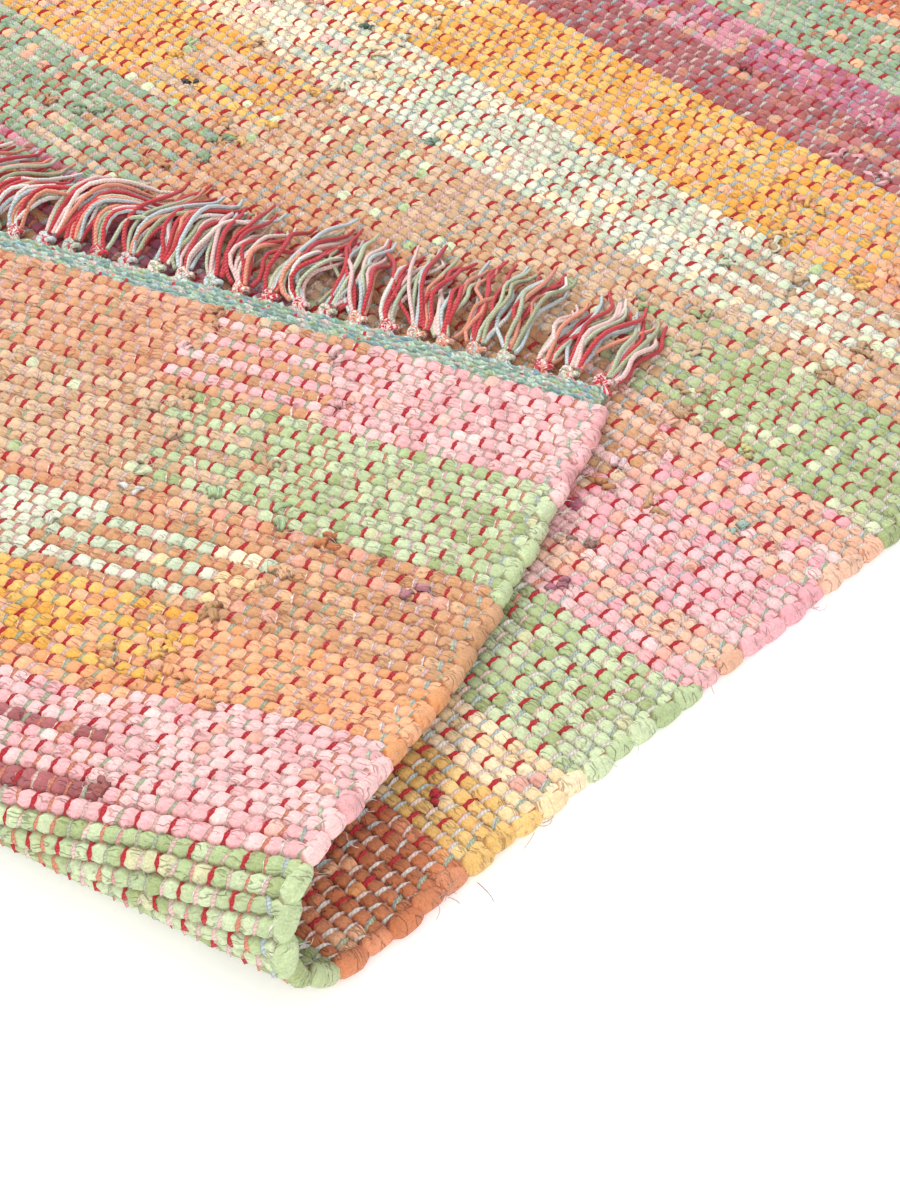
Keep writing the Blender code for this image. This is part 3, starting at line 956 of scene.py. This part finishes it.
def rag_tube(across, along, above, radius, start, draw, height=1.1, lengthwise=True):
    """Points, faces and flat places of a closed tube along a path over the flat rug.

    Folds run along the tube, or round it where lengthwise is False.
    """
    step_a, step_b = np.gradient(across), np.gradient(along)
    length = np.hypot(step_a, step_b)
    around = 2 * pi * np.arange(TUBE_SIDES) / TUBE_SIDES
    far = np.cumsum(length) - length[0]
    twist = 2 * around[None, :] + far[:, None] / BULGE_EVERY + draw.uniform(0, 6)
    bulge = 1.0 + TUBE_BULGE * np.sin(twist)
    ring = radius[:, None] * bulge
    side = ring * np.cos(around)
    u = across[:, None] + side * (step_b / length)[:, None]
    v = along[:, None] - side * (step_a / length)[:, None]
    points = fold(u, v, above[:, None] + ring * np.sin(around) * height)
    points[..., 2] = np.maximum(points[..., 2], FLOOR_CLEAR)
    round_it = np.abs(around - pi)[None, :] * TURN_RADIUS
    flat = np.broadcast_arrays(far[:, None] + draw.uniform(0, 1), round_it)
    flat = np.stack(flat if lengthwise else flat[::-1], axis=-1)
    index = start + np.arange(points.shape[0] * TUBE_SIDES).reshape(points.shape[:2])
    wrapped = np.concatenate((index, index[:, :1]), axis=1)
    quads = np.stack((wrapped[:-1, :-1], wrapped[:-1, 1:], wrapped[1:, 1:], wrapped[1:, :-1]), axis=-1)
    faces = [tuple(quad) for quad in quads.reshape(-1, 4)] + [tuple(index[0][::-1]), tuple(index[-1])]
    return points.reshape(-1, 3), faces, flat.reshape(-1, 2)


def tubes_object(name, tubes, colours):
    """One mesh of several rag tubes, each in its own colour, with painted shade at both ends."""
    points, faces, flat = (sum((list(tube[part]) for tube in tubes), []) for part in range(3))
    shades = np.repeat(colours, [len(tube[1]) for tube in tubes], axis=0)
    sunk = []
    for tube in tubes:
        rings = len(tube[0]) // TUBE_SIDES
        from_end = np.minimum(np.arange(rings), np.arange(rings)[::-1])
        # the last fifth at each end is marked sunk, so the rag material paints shade there
        sunk.append(np.repeat(np.where(from_end < rings // 5, 1.0, 0.0), TUBE_SIDES))
    item = mesh_object(name, np.array(points), faces, shades, np.array(flat), sunk=np.concatenate(sunk))
    item.data.materials.append(RAG_COTTON)
    return face_outwards(item)


print("rag tubes", TUBE_SIDES, "sides")

# %% Rag turns along both selvedges
TURN_OUT = 0.5 * MM
TURN_BACK = 1.9 * MM
TURN_HALF = 5.55 * MM
TURN_SLANT = 0.9 * MM
TURN_SPREAD = 0.4 * MM
TURN_SHARES = np.array((-1.0, -0.93, -0.8, -0.5, -0.17, 0.17, 0.5, 0.8, 0.93, 1.0))


def selvedge(name, edge):
    """The rag turns along one selvedge. edge is 0 for the right one, 1 for the left one."""
    draw = np.random.default_rng(60 + edge)
    outwards = -1.0 if edge == 0 else 1.0
    tubes, colours = [], []
    start = 0
    for pick in range(edge, PICKS - 1, 2):
        share = TURN_SHARES
        reach = TURN_OUT + TURN_SPREAD * draw.normal()
        across = edge * WIDTH + outwards * (reach - TURN_BACK * np.abs(share) ** 5)
        along = NEAR_END + (pick + 1) * PICK + TURN_SPREAD * draw.normal() + TURN_HALF * share
        above = -TURN_SLANT * share * draw.uniform(0.6, 1.3) + draw.normal(0, 0.15) * MM
        radius = TURN_RADIUS * (1.0 + 0.06 * draw.normal()) * (1.0 - 0.5 * np.abs(share) ** 6)
        tubes.append(rag_tube(across, along, above, radius, start, draw, lengthwise=False))
        start += len(tubes[-1][0])
        rag, shade = int(CHART[pick, 2 * edge]), int(draw.integers(0, 3))
        colours.append(np.clip(SHADES[rag, shade] * draw.uniform(0.93, 1.05), 0.0, 1.0))
    return tubes_object(name, tubes, np.array(colours))


selvedges = [selvedge("selvedge_right", 0), selvedge("selvedge_left", 1)]
print("selvedge triangles", [triangles(item) for item in selvedges])

# %% [markdown]
# ## Headings
# Before the rags start, the weaver beats in a few rows of thick twisted yarn, which hold
# the end together. The warp pairs are just as far apart, but the rows are half as wide
# as those of rag. The same wave as on the cloth makes them, at a smaller size, in the
# yarn's material, and here and there a warp shows between them as a speck of colour. The
# slant of the twist is a number that grows across and along the band.

# %% Woven headings
HEADING_GAP = 0.3 * MM
HEADING_TUCK = 2.4 * MM
HEADING = 12.0 * MM
HEADING_ROWS = 5
HEADING_THICK = 4.0 * MM
HEADING_YARNS = ("a0cbb5", "bddec5", "94bab3", "d3ead7", "abcab1", "87b09d", "b9d6d3", "b6cfa1", "d7ccc2",
                 "8db4bd")
SPECKS = 0.16
SPOTS_EACH = 2
GRID_ROWS_EACH = 4
EDGE_INSET = 0.8
DROOP, DROOP_PAIRS = 2.2 * MM, 2.5
YARN_RELIEF, YARN_ROUGH = 1.5 * MM, 0.3 * MM
TWIST_ACROSS, TWIST_ALONG = 2.3 * MM, 1.9 * MM
KNOT_LONG = 6.0 * MM
CLEAR_OF_LAYER = 0.6 * MM


def heading(name, edge, outwards, layer):
    """The woven band beyond one end of the cloth, as a closed slab."""
    draw = np.random.default_rng(int(abs(edge) * 1000))
    lifted = 1.0 if layer else 0.0
    warp = np.linspace(EDGE_INSET, WARP_PAIRS - EDGE_INSET, WARP_PAIRS * SPOTS_EACH + 1)
    row = np.linspace(0, HEADING_ROWS, HEADING_ROWS * GRID_ROWS_EACH + 1)
    share = row / HEADING_ROWS
    low = (0.8 + 1.7 * (1 - share)) * MM * lifted
    sign = np.where(np.floor(row).astype(int) % 2 == 0, 1.0, -1.0)[:, None]
    beads = 0.5 + 0.5 * sign * np.cos(pi * (warp - 0.5))[None, :]
    size = (len(row), len(warp))
    ridge = np.sqrt(np.abs(np.sin(pi * row)))[:, None] * (0.45 + 0.55 * beads)
    from_side = np.minimum(warp, WARP_PAIRS - warp) - EDGE_INSET
    droop = DROOP * (1.0 - np.clip(from_side / DROOP_PAIRS, 0, 1)) ** 2
    relief = YARN_RELIEF * ridge + draw.normal(0, YARN_ROUGH, size) - droop[None, :]
    ends = draw.normal(0, 0.5 * MM, size) * ((share > 0.9) * 1.0 + 0.5 * (share < 0.1))[:, None]
    ends = ends + 0.25 * MM * np.sin(pi * warp / 2 + draw.uniform(0, 6))[None, :]
    along = edge + outwards * (HEADING_GAP - HEADING_TUCK + share * (HEADING + HEADING_TUCK))
    top = low + HEADING_THICK + ((0.6 + 0.9 * (1 - share)) * lifted - 1.2) * MM
    upper = fold(warp[None, :] * WARP, along[:, None] + ends, top[:, None] + relief, layer=layer)
    coarse = np.linspace(EDGE_INSET, WARP_PAIRS - EDGE_INSET, 60)
    lower = fold(coarse[None, :] * WARP, along[::5, None], low[::5, None], layer=layer)
    count = upper.shape[0] * upper.shape[1]
    uppers = np.arange(count).reshape(upper.shape[:2])
    lowers = count + np.arange(lower.shape[0] * lower.shape[1]).reshape(lower.shape[:2])
    flip = outwards > 0
    top_faces = list(grid_faces(*upper.shape[:2], 0, not flip))
    low_faces = list(grid_faces(*lower.shape[:2], count, flip))
    walls = wall_faces(uppers[0], lowers[0], flip) + wall_faces(uppers[-1], lowers[-1], not flip)
    walls += wall_faces(uppers[:, 0], lowers[:, 0], not flip)
    walls += wall_faces(uppers[:, -1], lowers[:, -1], flip)
    shades = np.array([linear(shade) for shade in HEADING_YARNS])
    cells = (len(row) - 1, len(warp) - 1)
    strip, column = np.arange(cells[0])[:, None] // 2, np.arange(cells[1])[None, :]
    runs = draw.integers(len(shades), size=(cells[0] // 2 + 1, (cells[1] + cells[0]) // 2 + 1))
    yarns = shades[runs[strip, (column + strip) // 2]]
    yarns[..., :3] *= draw.uniform(0.66, 1.1, cells + (1,))
    speck = (draw.random(cells) < SPECKS) & ((column + strip) % 4 == 0)
    pair = np.clip(warp[:-1].astype(int), 0, WARP_PAIRS - 1)
    yarns[speck] = np.broadcast_to(WARP_COLOURS[pair, 0], cells + (4,))[speck]
    plain = np.tile(shades[:1], (len(low_faces) + len(walls), 1))
    colours = np.concatenate((yarns.reshape(-1, 4), plain))
    points = np.concatenate((upper.reshape(-1, 3), lower.reshape(-1, 3)))
    twist = 2 * pi * (warp[None, :] * WARP / TWIST_ACROSS + along[:, None] / TWIST_ALONG)
    under = np.zeros(len(points) - count)
    # the grooves between the heading's rows are marked sunk, so the yarn material paints shade into them
    item = mesh_object(name, points, top_faces + low_faces + walls, colours, None, len(walls),
                       turns=np.append(twist.ravel(), under), sunk=np.append(1.0 - ridge.ravel(), under))
    item.data.materials.append(YARN_COTTON)
    return face_outwards(item)


LAYER = THICK + CLEAR_OF_LAYER
headings = [heading("heading_near", NEAR_END, -1, LAYER), heading("heading_far", FAR_END, 1, 0.0)]
print("heading triangles", [triangles(item) for item in headings])

# %% [markdown]
# ## Tassels
# Ten or so warp yarns are gathered, knotted once and left to hang. A yarn here is a
# line of points with a thickness and a colour, and a Geometry Nodes tree turns the lines
# into round yarns. It also notes how far along and how far round each point is, so that
# the material can draw the twist of the plies. The knots are a few turns of thicker
# yarn round the bundle. The loose ends wave and fan out a little, and lie down on what
# is under them.

# %% The yarn tree
PLY_TURN = 1.5 * MM
PLIES_ROUND = 2.0


def yarn_tree():
    """A tree that makes a round yarn of every line, and notes how its plies turn."""
    tree, keys, given = new_tree("yarn_from_line", Sides=("Int", 5), Pitch=("Float", PLY_TURN),
                                 Finish=("Material", None))
    number = {"data_type": "FLOAT"}
    on_points = {"data_type": "FLOAT", "domain": "POINT"}
    lines = add_node(tree, "GeometryNodeMeshToCurve", Mesh=given["Geometry"])
    far = add_node(tree, "GeometryNodeSplineParameter").outputs["Length"]
    turned = add_node(tree, MATHS, {"operation": "DIVIDE"}, far, given["Pitch"])
    lines = add_node(tree, STORE, on_points, Geometry=lines, Name="turned", Value=turned)
    ring = add_node(tree, "GeometryNodeCurvePrimitiveCircle", Resolution=given["Sides"], Radius=1.0)
    around = add_node(tree, "GeometryNodeSplineParameter").outputs["Factor"]
    ring = add_node(tree, STORE, on_points, Geometry=ring, Name="around", Value=around)
    thickness, turned, around = (add_node(tree, NAMED, number, Name=name)
                                 for name in ("thickness", "turned", "around"))
    tube = add_node(tree, "GeometryNodeCurveToMesh", Curve=lines, Profile_Curve=ring, Scale=thickness,
                    Fill_Caps=True)
    turns = add_node(tree, MATHS, TIMES_PLUS, around, -PLIES_ROUND, turned)
    turns = add_node(tree, MATHS, TIMES, turns, 2 * pi)
    tube = add_node(tree, STORE, on_points, Geometry=tube, Name="turns", Value=turns)
    smooth = add_node(tree, "GeometryNodeSetShadeSmooth", Geometry=tube)
    close_tree(tree, smooth, given["Finish"])
    return tree, keys


YARN_TREE, YARN_KEYS = yarn_tree()
print("yarn tree", len(YARN_TREE.nodes), "nodes")


def yarns_object(name, lines, sides):
    """Round yarns from a list of lines, each with its points, thickness and colour."""
    points = np.concatenate([line[0] for line in lines])
    thickness = np.concatenate([np.broadcast_to(line[1], len(line[0])) for line in lines])
    colours = np.concatenate([np.broadcast_to(line[2], (len(line[0]), 4)) for line in lines])
    item = points_object(name, points, thickness=thickness, dyed=colours)
    sizes = np.array([len(line[0]) for line in lines])
    index = np.arange(len(points))
    inner = np.ones(len(points), dtype=bool)
    inner[np.cumsum(sizes) - 1] = False
    edges = np.stack((index[inner], index[inner] + 1), axis=1)
    item.data.edges.add(len(edges))
    item.data.edges.foreach_set("vertices", edges.astype(np.int32).ravel())
    return grown(item, YARN_TREE, YARN_KEYS, Sides=sides, Pitch=PLY_TURN, Finish=YARN_COTTON)


# %% How the tassels lie
TASSELS = 50
YARN_RADIUS = 0.9 * MM
YARNS_EACH = 10
YARN_STEPS = 11
ENDS_LONG, ENDS_SPREAD = (42, 58), 3.0
KNOT_ABOVE = 3.5 * MM
YARN_AT_KNOT = 3.6 * MM
CORE_ABOVE = 3.4 * MM
KNOT_YARN = 1.05 * MM
KNOT_SIZE = (1.08, 1.3)
TASSEL_YARNS = (
    "red", "coral", "pink", "sky", "sage", "red", "blush", "red", "sky", "pink", "red", "olive", "sage",
    "coral", "white", "red",
)
KNOT_YARNS = (
    ("blush", "sage"), ("pink", "sky"), ("white", "coral"), ("sage", "sky"), ("red", "pink"),
)
# In degrees, how far the yarns of each near tassel turn to the right selvedge at the
# knot, in the middle and at the tip, and how high they arch in mm, from the right on.
NEAR_TASSELS = (
    (20, 5, -15, 3), (0, 20, -5, 4), (-12, 15, -5, 3), (-8, 8, 0, 5), (-5, 0, 5, 4),
    (-20, -5, 0, 6), (-10, -15, 5, 7), (-25, 0, 10, 5), (-22, -12, -12, 6), (0, -8, -12, 5),
    (-34, 24, -12, 7), (-6, 18, 12, 5), (-28, 18, 0, 6), (-8, -10, -6, 7), (-26, 30, 6, 8),
    (5, 0, 36, 8), (-8, 36, 12, 7), (-24, 42, 28, 8), (-14, 54, 40, 9), (0, 36, 52, 10),
    (-30, 60, -42, 9), (-20, 40, -10, 8), (0, 30, 20, 6), (-15, 10, 20, 5),
)


def tassel_turns(draw, count, charted):
    """Turns at knot, middle and tip, and arch, for each tassel: charted ones, then drawn ones."""
    drift = np.convolve(draw.normal(0, 38, count + 6), np.ones(4) / 4, "same")[3:-3]
    rows = np.stack((drift * 0.4 + draw.normal(0, 14, count), drift + draw.normal(0, 10, count),
                     draw.normal(0, 24, count), draw.uniform(1.5, 7, count)), axis=1)
    rows[:len(charted)] = np.array(charted).reshape(-1, 4)
    return rows


print(len(NEAR_TASSELS), "of", TASSELS, "near tassels are charted")

# %% Knots and loose ends
KNOT_CORE = ((-3.4, 0.6), (-2.0, 1.7), (0.0, 2.2), (2.0, 1.8), (3.4, 1.1))
KNOT_STEPS = 19


def knot_line(middle, knot, outwards, size, turn):
    """A trefoil, the simplest closed knot, as places across, along and above the layer."""
    angle = np.linspace(0, 2 * pi * (1 - 1 / KNOT_STEPS), KNOT_STEPS) + turn
    u = 0.95 * size * (np.sin(angle) + 2 * np.sin(2 * angle))
    v = 0.8 * size * (np.cos(angle) - 2 * np.cos(2 * angle))
    return middle + u, knot + outwards * v, KNOT_ABOVE - 1.6 * size * np.sin(3 * angle)


def tassel_lines(edge, outwards, layer, charted, seed):
    """Lines of yarn for one row of tassels: roots, knots and loose ends."""
    draw = np.random.default_rng(seed)
    spacing = WIDTH / TASSELS
    root = edge + outwards * (HEADING_GAP + HEADING - 2.0 * MM)
    knot = edge + outwards * (HEADING_GAP + HEADING + KNOT_LONG * 0.5)
    step = np.linspace(0.0, 1.0, YARN_STEPS)
    lines = []
    for tassel, (at_knot, halfway, at_tip, arch) in enumerate(tassel_turns(draw, TASSELS, charted)):
        middle = (tassel + 0.5) * spacing + draw.normal(0, 0.7) * MM
        turn = np.radians(np.interp(step, (0.0, 0.1, 0.5, 1.0), (at_knot, at_knot, halfway, at_tip)))
        first = int(draw.integers(len(TASSEL_YARNS)))
        names = [TASSEL_YARNS[(first + 3 * k) % len(TASSEL_YARNS)] for k in range(YARNS_EACH)]
        usual, curl = draw.uniform(*ENDS_LONG), draw.uniform(0, 6)
        for yarn, name in enumerate(names):
            spread = (yarn - (YARNS_EACH - 1) / 2) / YARNS_EACH
            colour = np.clip(linear(YARNS[name]) * draw.uniform(0.92, 1.14), 0.0, 1.0)
            long = (usual + draw.normal(0, ENDS_SPREAD)) * MM
            way = turn - spread * draw.uniform(0.1, 0.6) + draw.normal(0, 0.07)
            way = way + 0.16 * np.sin(curl + 9 * step)
            way = way + draw.normal(0, 0.22) * np.sin(draw.uniform(0, 6) + 12 * step)
            across = middle + spread * 4.2 * MM - np.cumsum(np.sin(way)) * long / YARN_STEPS
            along = knot + outwards * np.cumsum(np.cos(way)) * long / YARN_STEPS
            rest = YARN_RADIUS + 1.6 * MM * ((yarn * 5) % 3) * (1 - 0.6 * step)
            hump = (arch + draw.normal(0, 0.9)) * MM * np.sin(pi * np.minimum(step * 1.1, 1.0)) ** 1.2
            up = rest + (YARN_AT_KNOT - rest) * np.exp(-step * 7.0) + np.maximum(hump, 0.0)
            radius = YARN_RADIUS * draw.uniform(0.9, 1.1) * (1 - 0.3 * step ** 6)
            lines.append((fold(across, along, up, layer=layer), radius, colour))
            start = middle + spread * spacing * 0.95
            path = np.linspace(0, 1, 4)
            rooted = fold(start + (middle - start) * path, root + (knot - root) * path,
                          YARN_AT_KNOT + 0.4 * MM * np.sin(pi * path), layer=layer)
            lines.append((rooted, YARN_RADIUS * 0.8, colour))
        places, widths = np.array(KNOT_CORE).T * MM
        core = fold(middle, knot + outwards * places, CORE_ABOVE, layer=layer)
        lines.append((core, widths, linear(YARNS[names[0]])))
        for name in KNOT_YARNS[int(draw.integers(len(KNOT_YARNS)))]:
            colour = np.clip(linear(YARNS[name]) * draw.uniform(0.95, 1.15), 0.0, 1.0)
            size = draw.uniform(*KNOT_SIZE) * MM
            across, along, up = knot_line(middle, knot, outwards, size, draw.uniform(0, 2 * pi))
            lines.append((fold(across, along, up, layer=layer), KNOT_YARN, colour))
    return lines


tassels = [
    yarns_object("tassels_near", tassel_lines(NEAR_END, -1, LAYER, NEAR_TASSELS, 41), 5),
    yarns_object("tassels_far", tassel_lines(FAR_END, 1, 0.0, (), 43), 4),
]
print("tassel triangles", [triangles(item) for item in tassels])

# %% [markdown]
# ## Frayed ends and loose threads
# Nothing in a rag rug is trimmed. Where one rag ends and the next begins, its torn end
# stands out of the weave in a crumpled tuft and frays, and fine threads hang out along
# the selvedges and the headings. A tuft is a few flat curled tubes of the same cotton.
# Threads are thin lines turned into yarn by the same tree as the tassels. A few odd
# scraps have a colour of their own, and are listed one by one.

# %% Tufts and threads
THREAD_RADIUS = 0.11 * MM
FACE_THREADS, EDGE_THREADS, EDGE_REACH = 420, 190, 8.0
FRAYED_MEETS = 0.5
STRIPS_EACH, THREADS_EACH = 3, 2
# how far along the turned part reaches, and how far past the fold the front is covered
TURNED_BEFORE = -40 * MM
COVERED = 240 * MM
# face, across and along the flat rug in mm, colour, length of its strips in mm
ODD_SCRAPS = (
    (1, 86, -134, "edb54e", 9), (1, 102, -117, "e8b878", 8), (1, 80, -153, "c99a6b", 8),
    (1, 60, -194, "c67a4c", 6), (1, 84, -200, "b5cf9c", 9), (1, 105, -198, "b5cf9c", 7),
    (1, 26, -186, "c0848c", 6), (1, 134, -192, "f0ece4", 6), (0, 410, 222, "d49a72", 9),
    (0, 354, 349, "5f7a68", 4), (0, 378, 267, "4c4a4c", 3), (0, 272, 307, "7f9c86", 5),
    (0, 333, 252, "ecc07c", 8), (0, 333, 313, "eee0bb", 8), (0, 144, 379, "eba88a", 8),
    (0, 135, 381, "ecbd60", 7), (0, 146, 418, "f0b0b4", 8), (0, 126, 417, "f2bcc0", 8),
    (0, 156, 447, "f0b0b4", 7), (0, 218, 438, "a84850", 6), (0, 130, 349, "e3e4c6", 9),
    (0, 108, 337, "cfae84", 8), (0, 88, 219, "f3d2d2", 7), (0, 84, 201, "c9905f", 6),
    (0, 64, 205, "d3a577", 8), (0, 69, 177, "a98478", 5), (0, 62, 156, "b87482", 5),
    (0, 36, 219, "a9c6b8", 5),
    (0, 60, 252, "d3cf8a", 4), (0, 24, 63, "c42f38", 3),
)
print(len(ODD_SCRAPS), "odd scraps")


def face_on_show(along):
    """The face that shows from above: the back on the turned end, else the front."""
    return 1 if along < TURNED_BEFORE else 0


def on_show(across, along):
    """Whether a place on the rug's front isn't under the folded end or the fold."""
    return -across * sin(SKEW) - along * cos(SKEW) < -COVERED


def thread(draw, across, along, above, colour, reach=9.0):
    """One fine thread that starts in the cloth and curls over it."""
    step = np.linspace(0.0, 1.0, 5)
    way, bend = draw.uniform(0, 2 * pi), draw.normal(0, 1.6)
    long = draw.uniform(0.4, 1.3) * reach * MM
    angle = way + bend * step
    u = across + np.cumsum(np.cos(angle)) * long / 5
    v = along + np.cumsum(np.sin(angle)) * long / 5
    lift = above + np.sign(above) * (draw.uniform(0.1, 1.8) * MM * np.sin(pi * step * 0.8))
    points = fold(u, v, lift)
    points[:, 2] = np.maximum(points[:, 2], THREAD_RADIUS)
    radius = THREAD_RADIUS * draw.uniform(0.7, 1.5)
    return points, radius, np.clip(0.5 * colour + 0.5 * draw.uniform(0.7, 1.3), 0, 1)


def tuft(draw, across, along, face, colour, size, start):
    """Flat curled strips of rag that stand out of the weave at one place, and threads."""
    side = 1.0 - 2.0 * face
    step = np.linspace(0.0, 1.0, 5)
    tubes, threads = [], []
    for _ in range(STRIPS_EACH):
        angle = draw.uniform(0, 2 * pi) + draw.normal(0, 1.5) * step
        u = across + draw.normal(0, 0.8) * MM + np.cumsum(np.cos(angle)) * size / 5
        v = along + draw.normal(0, 0.8) * MM + np.cumsum(np.sin(angle)) * size / 5
        above = side * (2.8 + draw.uniform(0.5, 1.6) * np.sin(pi * step * 0.9)) * MM
        radius = draw.uniform(1.0, 1.7) * MM * (1.0 + 0.25 * draw.normal(0, 1, 5)) * (1.0 - 0.3 * step)
        radius = np.maximum(radius, 0.4 * MM)
        tubes.append(rag_tube(u, v, above, radius, start, draw, draw.uniform(0.4, 0.8)))
        start += len(tubes[-1][0])
        for _ in range(THREADS_EACH):
            threads.append(thread(draw, u[-1], v[-1], above[-1], colour, reach=6.0))
    return tubes, threads, start


print("strips and threads of a tuft", STRIPS_EACH, STRIPS_EACH * THREADS_EACH)


# %% All frayed ends
def fray():
    """Tufts where rags meet or where the chart has them, and threads on faces and edges."""
    draw = np.random.default_rng(77)
    tubes, colours, threads = [], [], []
    start = 0
    scraps = [(face, u * MM, v * MM, linear(shade), size * MM) for face, u, v, shade, size in ODD_SCRAPS]
    for pick in range(PICKS):
        along = NEAR_END + (pick + 0.5) * PICK
        face = face_on_show(along)
        for meet in (CHART[pick, 3], CHART[pick, 4]):
            if draw.random() < FRAYED_MEETS and (face or on_show(meet, along)):
                place = np.array([meet / WARP + draw.choice((-1.2, 1.2))])
                colour = rag_colour(np.array([pick]), place, face)[0] * draw.uniform(1.0, 1.15)
                scraps.append((face, meet, along, colour, draw.uniform(4, 8) * MM))
    for face, across, along, colour, size in scraps:
        strips, ends, start = tuft(draw, across, along, face, colour, size, start)
        tubes += strips
        colours += [colour] * len(strips)
        threads += ends
    for edge in (0, 1):
        for _ in range(EDGE_THREADS):
            pick = int(draw.integers(PICKS))
            along = NEAR_END + (pick + draw.random()) * PICK
            across = edge * WIDTH + (2 * edge - 1) * draw.uniform(-1, 3.6) * MM
            colour = SHADES[int(CHART[pick, 2 * edge]), 1]
            above = draw.choice((-1, 1)) * 2.0 * MM
            threads.append(thread(draw, across, along, above, colour, reach=EDGE_REACH))
    for _ in range(FACE_THREADS):
        across, along = draw.uniform(0, WIDTH), draw.uniform(NEAR_END, FAR_END)
        face = face_on_show(along)
        if face or on_show(across, along):
            pick = np.array([int((along - NEAR_END) / PICK)])
            colour = rag_colour(pick, np.array([across / WARP]), face)[0]
            if draw.random() < 0.25:
                colour = linear(YARNS[TASSEL_YARNS[int(draw.integers(len(TASSEL_YARNS)))]])
            threads.append(thread(draw, across, along, (1.0 - 2.0 * face) * 3.6 * MM, colour))
    return tubes_object("rag_ends", tubes, np.array(colours)), yarns_object("loose_threads", threads, 3)


frayed = list(fray())
print("frayed pieces", [triangles(item) for item in frayed])

# %% [markdown]
# ## What each piece stands for
# The blocks of cloth, with stitches and selvedges on them, replace the imported cloth, and
# headings and tassels replace the two packed fringes.

# %% Ride and replace
for piece in cloth + stitches + selvedges + frayed:
    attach(piece, "root")
    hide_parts("rug_cloth")
for pieces, node in ((0, "near_fringe"), (1, "far_fringe")):
    for piece in (headings[pieces], tassels[pieces]):
        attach(piece, "root")
        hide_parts(node)
for piece, row in zip(cloth, BLOCKS):
    name, picks, warps = row[:3]
print(len(cloth), "sheets declared")

# %% [markdown]
# ## Studio
# The rug lies on a pale floor in soft daylight, as in a product photograph. A large
# light from the upper left gives the beads their shape, and a bright, even sky fills the
# shadows. The camera stands 45 degrees round and 45 degrees up, less than a metre away,
# and looks at a point beside the fold.

# %% Floor, light and camera
FLOOR_HALF = 6.0
# name, place, size, power
LAMPS = (("key", (-1.6, 0.2, 2.2), 1.2, 56.0), ("fill", (1.7, -1.5, 1.6), 2.2, 32.0))
AIM = Vector((0.25265, -0.12215, 0.0))
BACK = Vector((0.5, -0.5, 0.7071))
DISTANCE = 0.78333


def studio():
    """A pale floor, a soft sky and two large lamps."""
    corners = FLOOR_HALF * np.array(((-1, -1, 0), (1, -1, 0), (1, 1, 0), (-1, 1, 0)))
    floor = mesh_object("floor", corners, [(0, 1, 2, 3)])
    material, _, shader = new_material("white_paper", 0.9, 0.0)
    shader.inputs["Base Color"].default_value = linear("f7f6f4")
    shader.inputs["Emission Color"].default_value = linear("ffffff")
    shader.inputs["Emission Strength"].default_value = 0.25
    floor.data.materials.append(material)
    world = bpy.data.worlds.new("soft_sky")
    world.use_nodes = True
    world.node_tree.nodes["Background"].inputs["Color"].default_value = linear("fbfbff")
    world.node_tree.nodes["Background"].inputs["Strength"].default_value = 0.8
    bpy.context.scene.world = world
    for name, place, size, power in LAMPS:
        data = bpy.data.lights.new(name, "AREA")
        data.size = size
        data.energy = power
        lamp = in_scene(name, data)
        lamp.location = place
        lamp.rotation_euler = (-Vector(place)).to_track_quat("-Z", "Y").to_euler()


studio()
camera = in_scene("camera", bpy.data.cameras.new("camera"))
camera.location = AIM + BACK * DISTANCE
camera.rotation_euler = (-BACK).to_track_quat("-Z", "Y").to_euler()
camera.data.lens = 70.5
camera.data.sensor_width = 36.0
camera.data.clip_start = 0.01
bpy.context.scene.camera = camera
bpy.context.scene.view_settings.view_transform = "Standard"
print("camera at", tuple(round(value, 3) for value in camera.location))
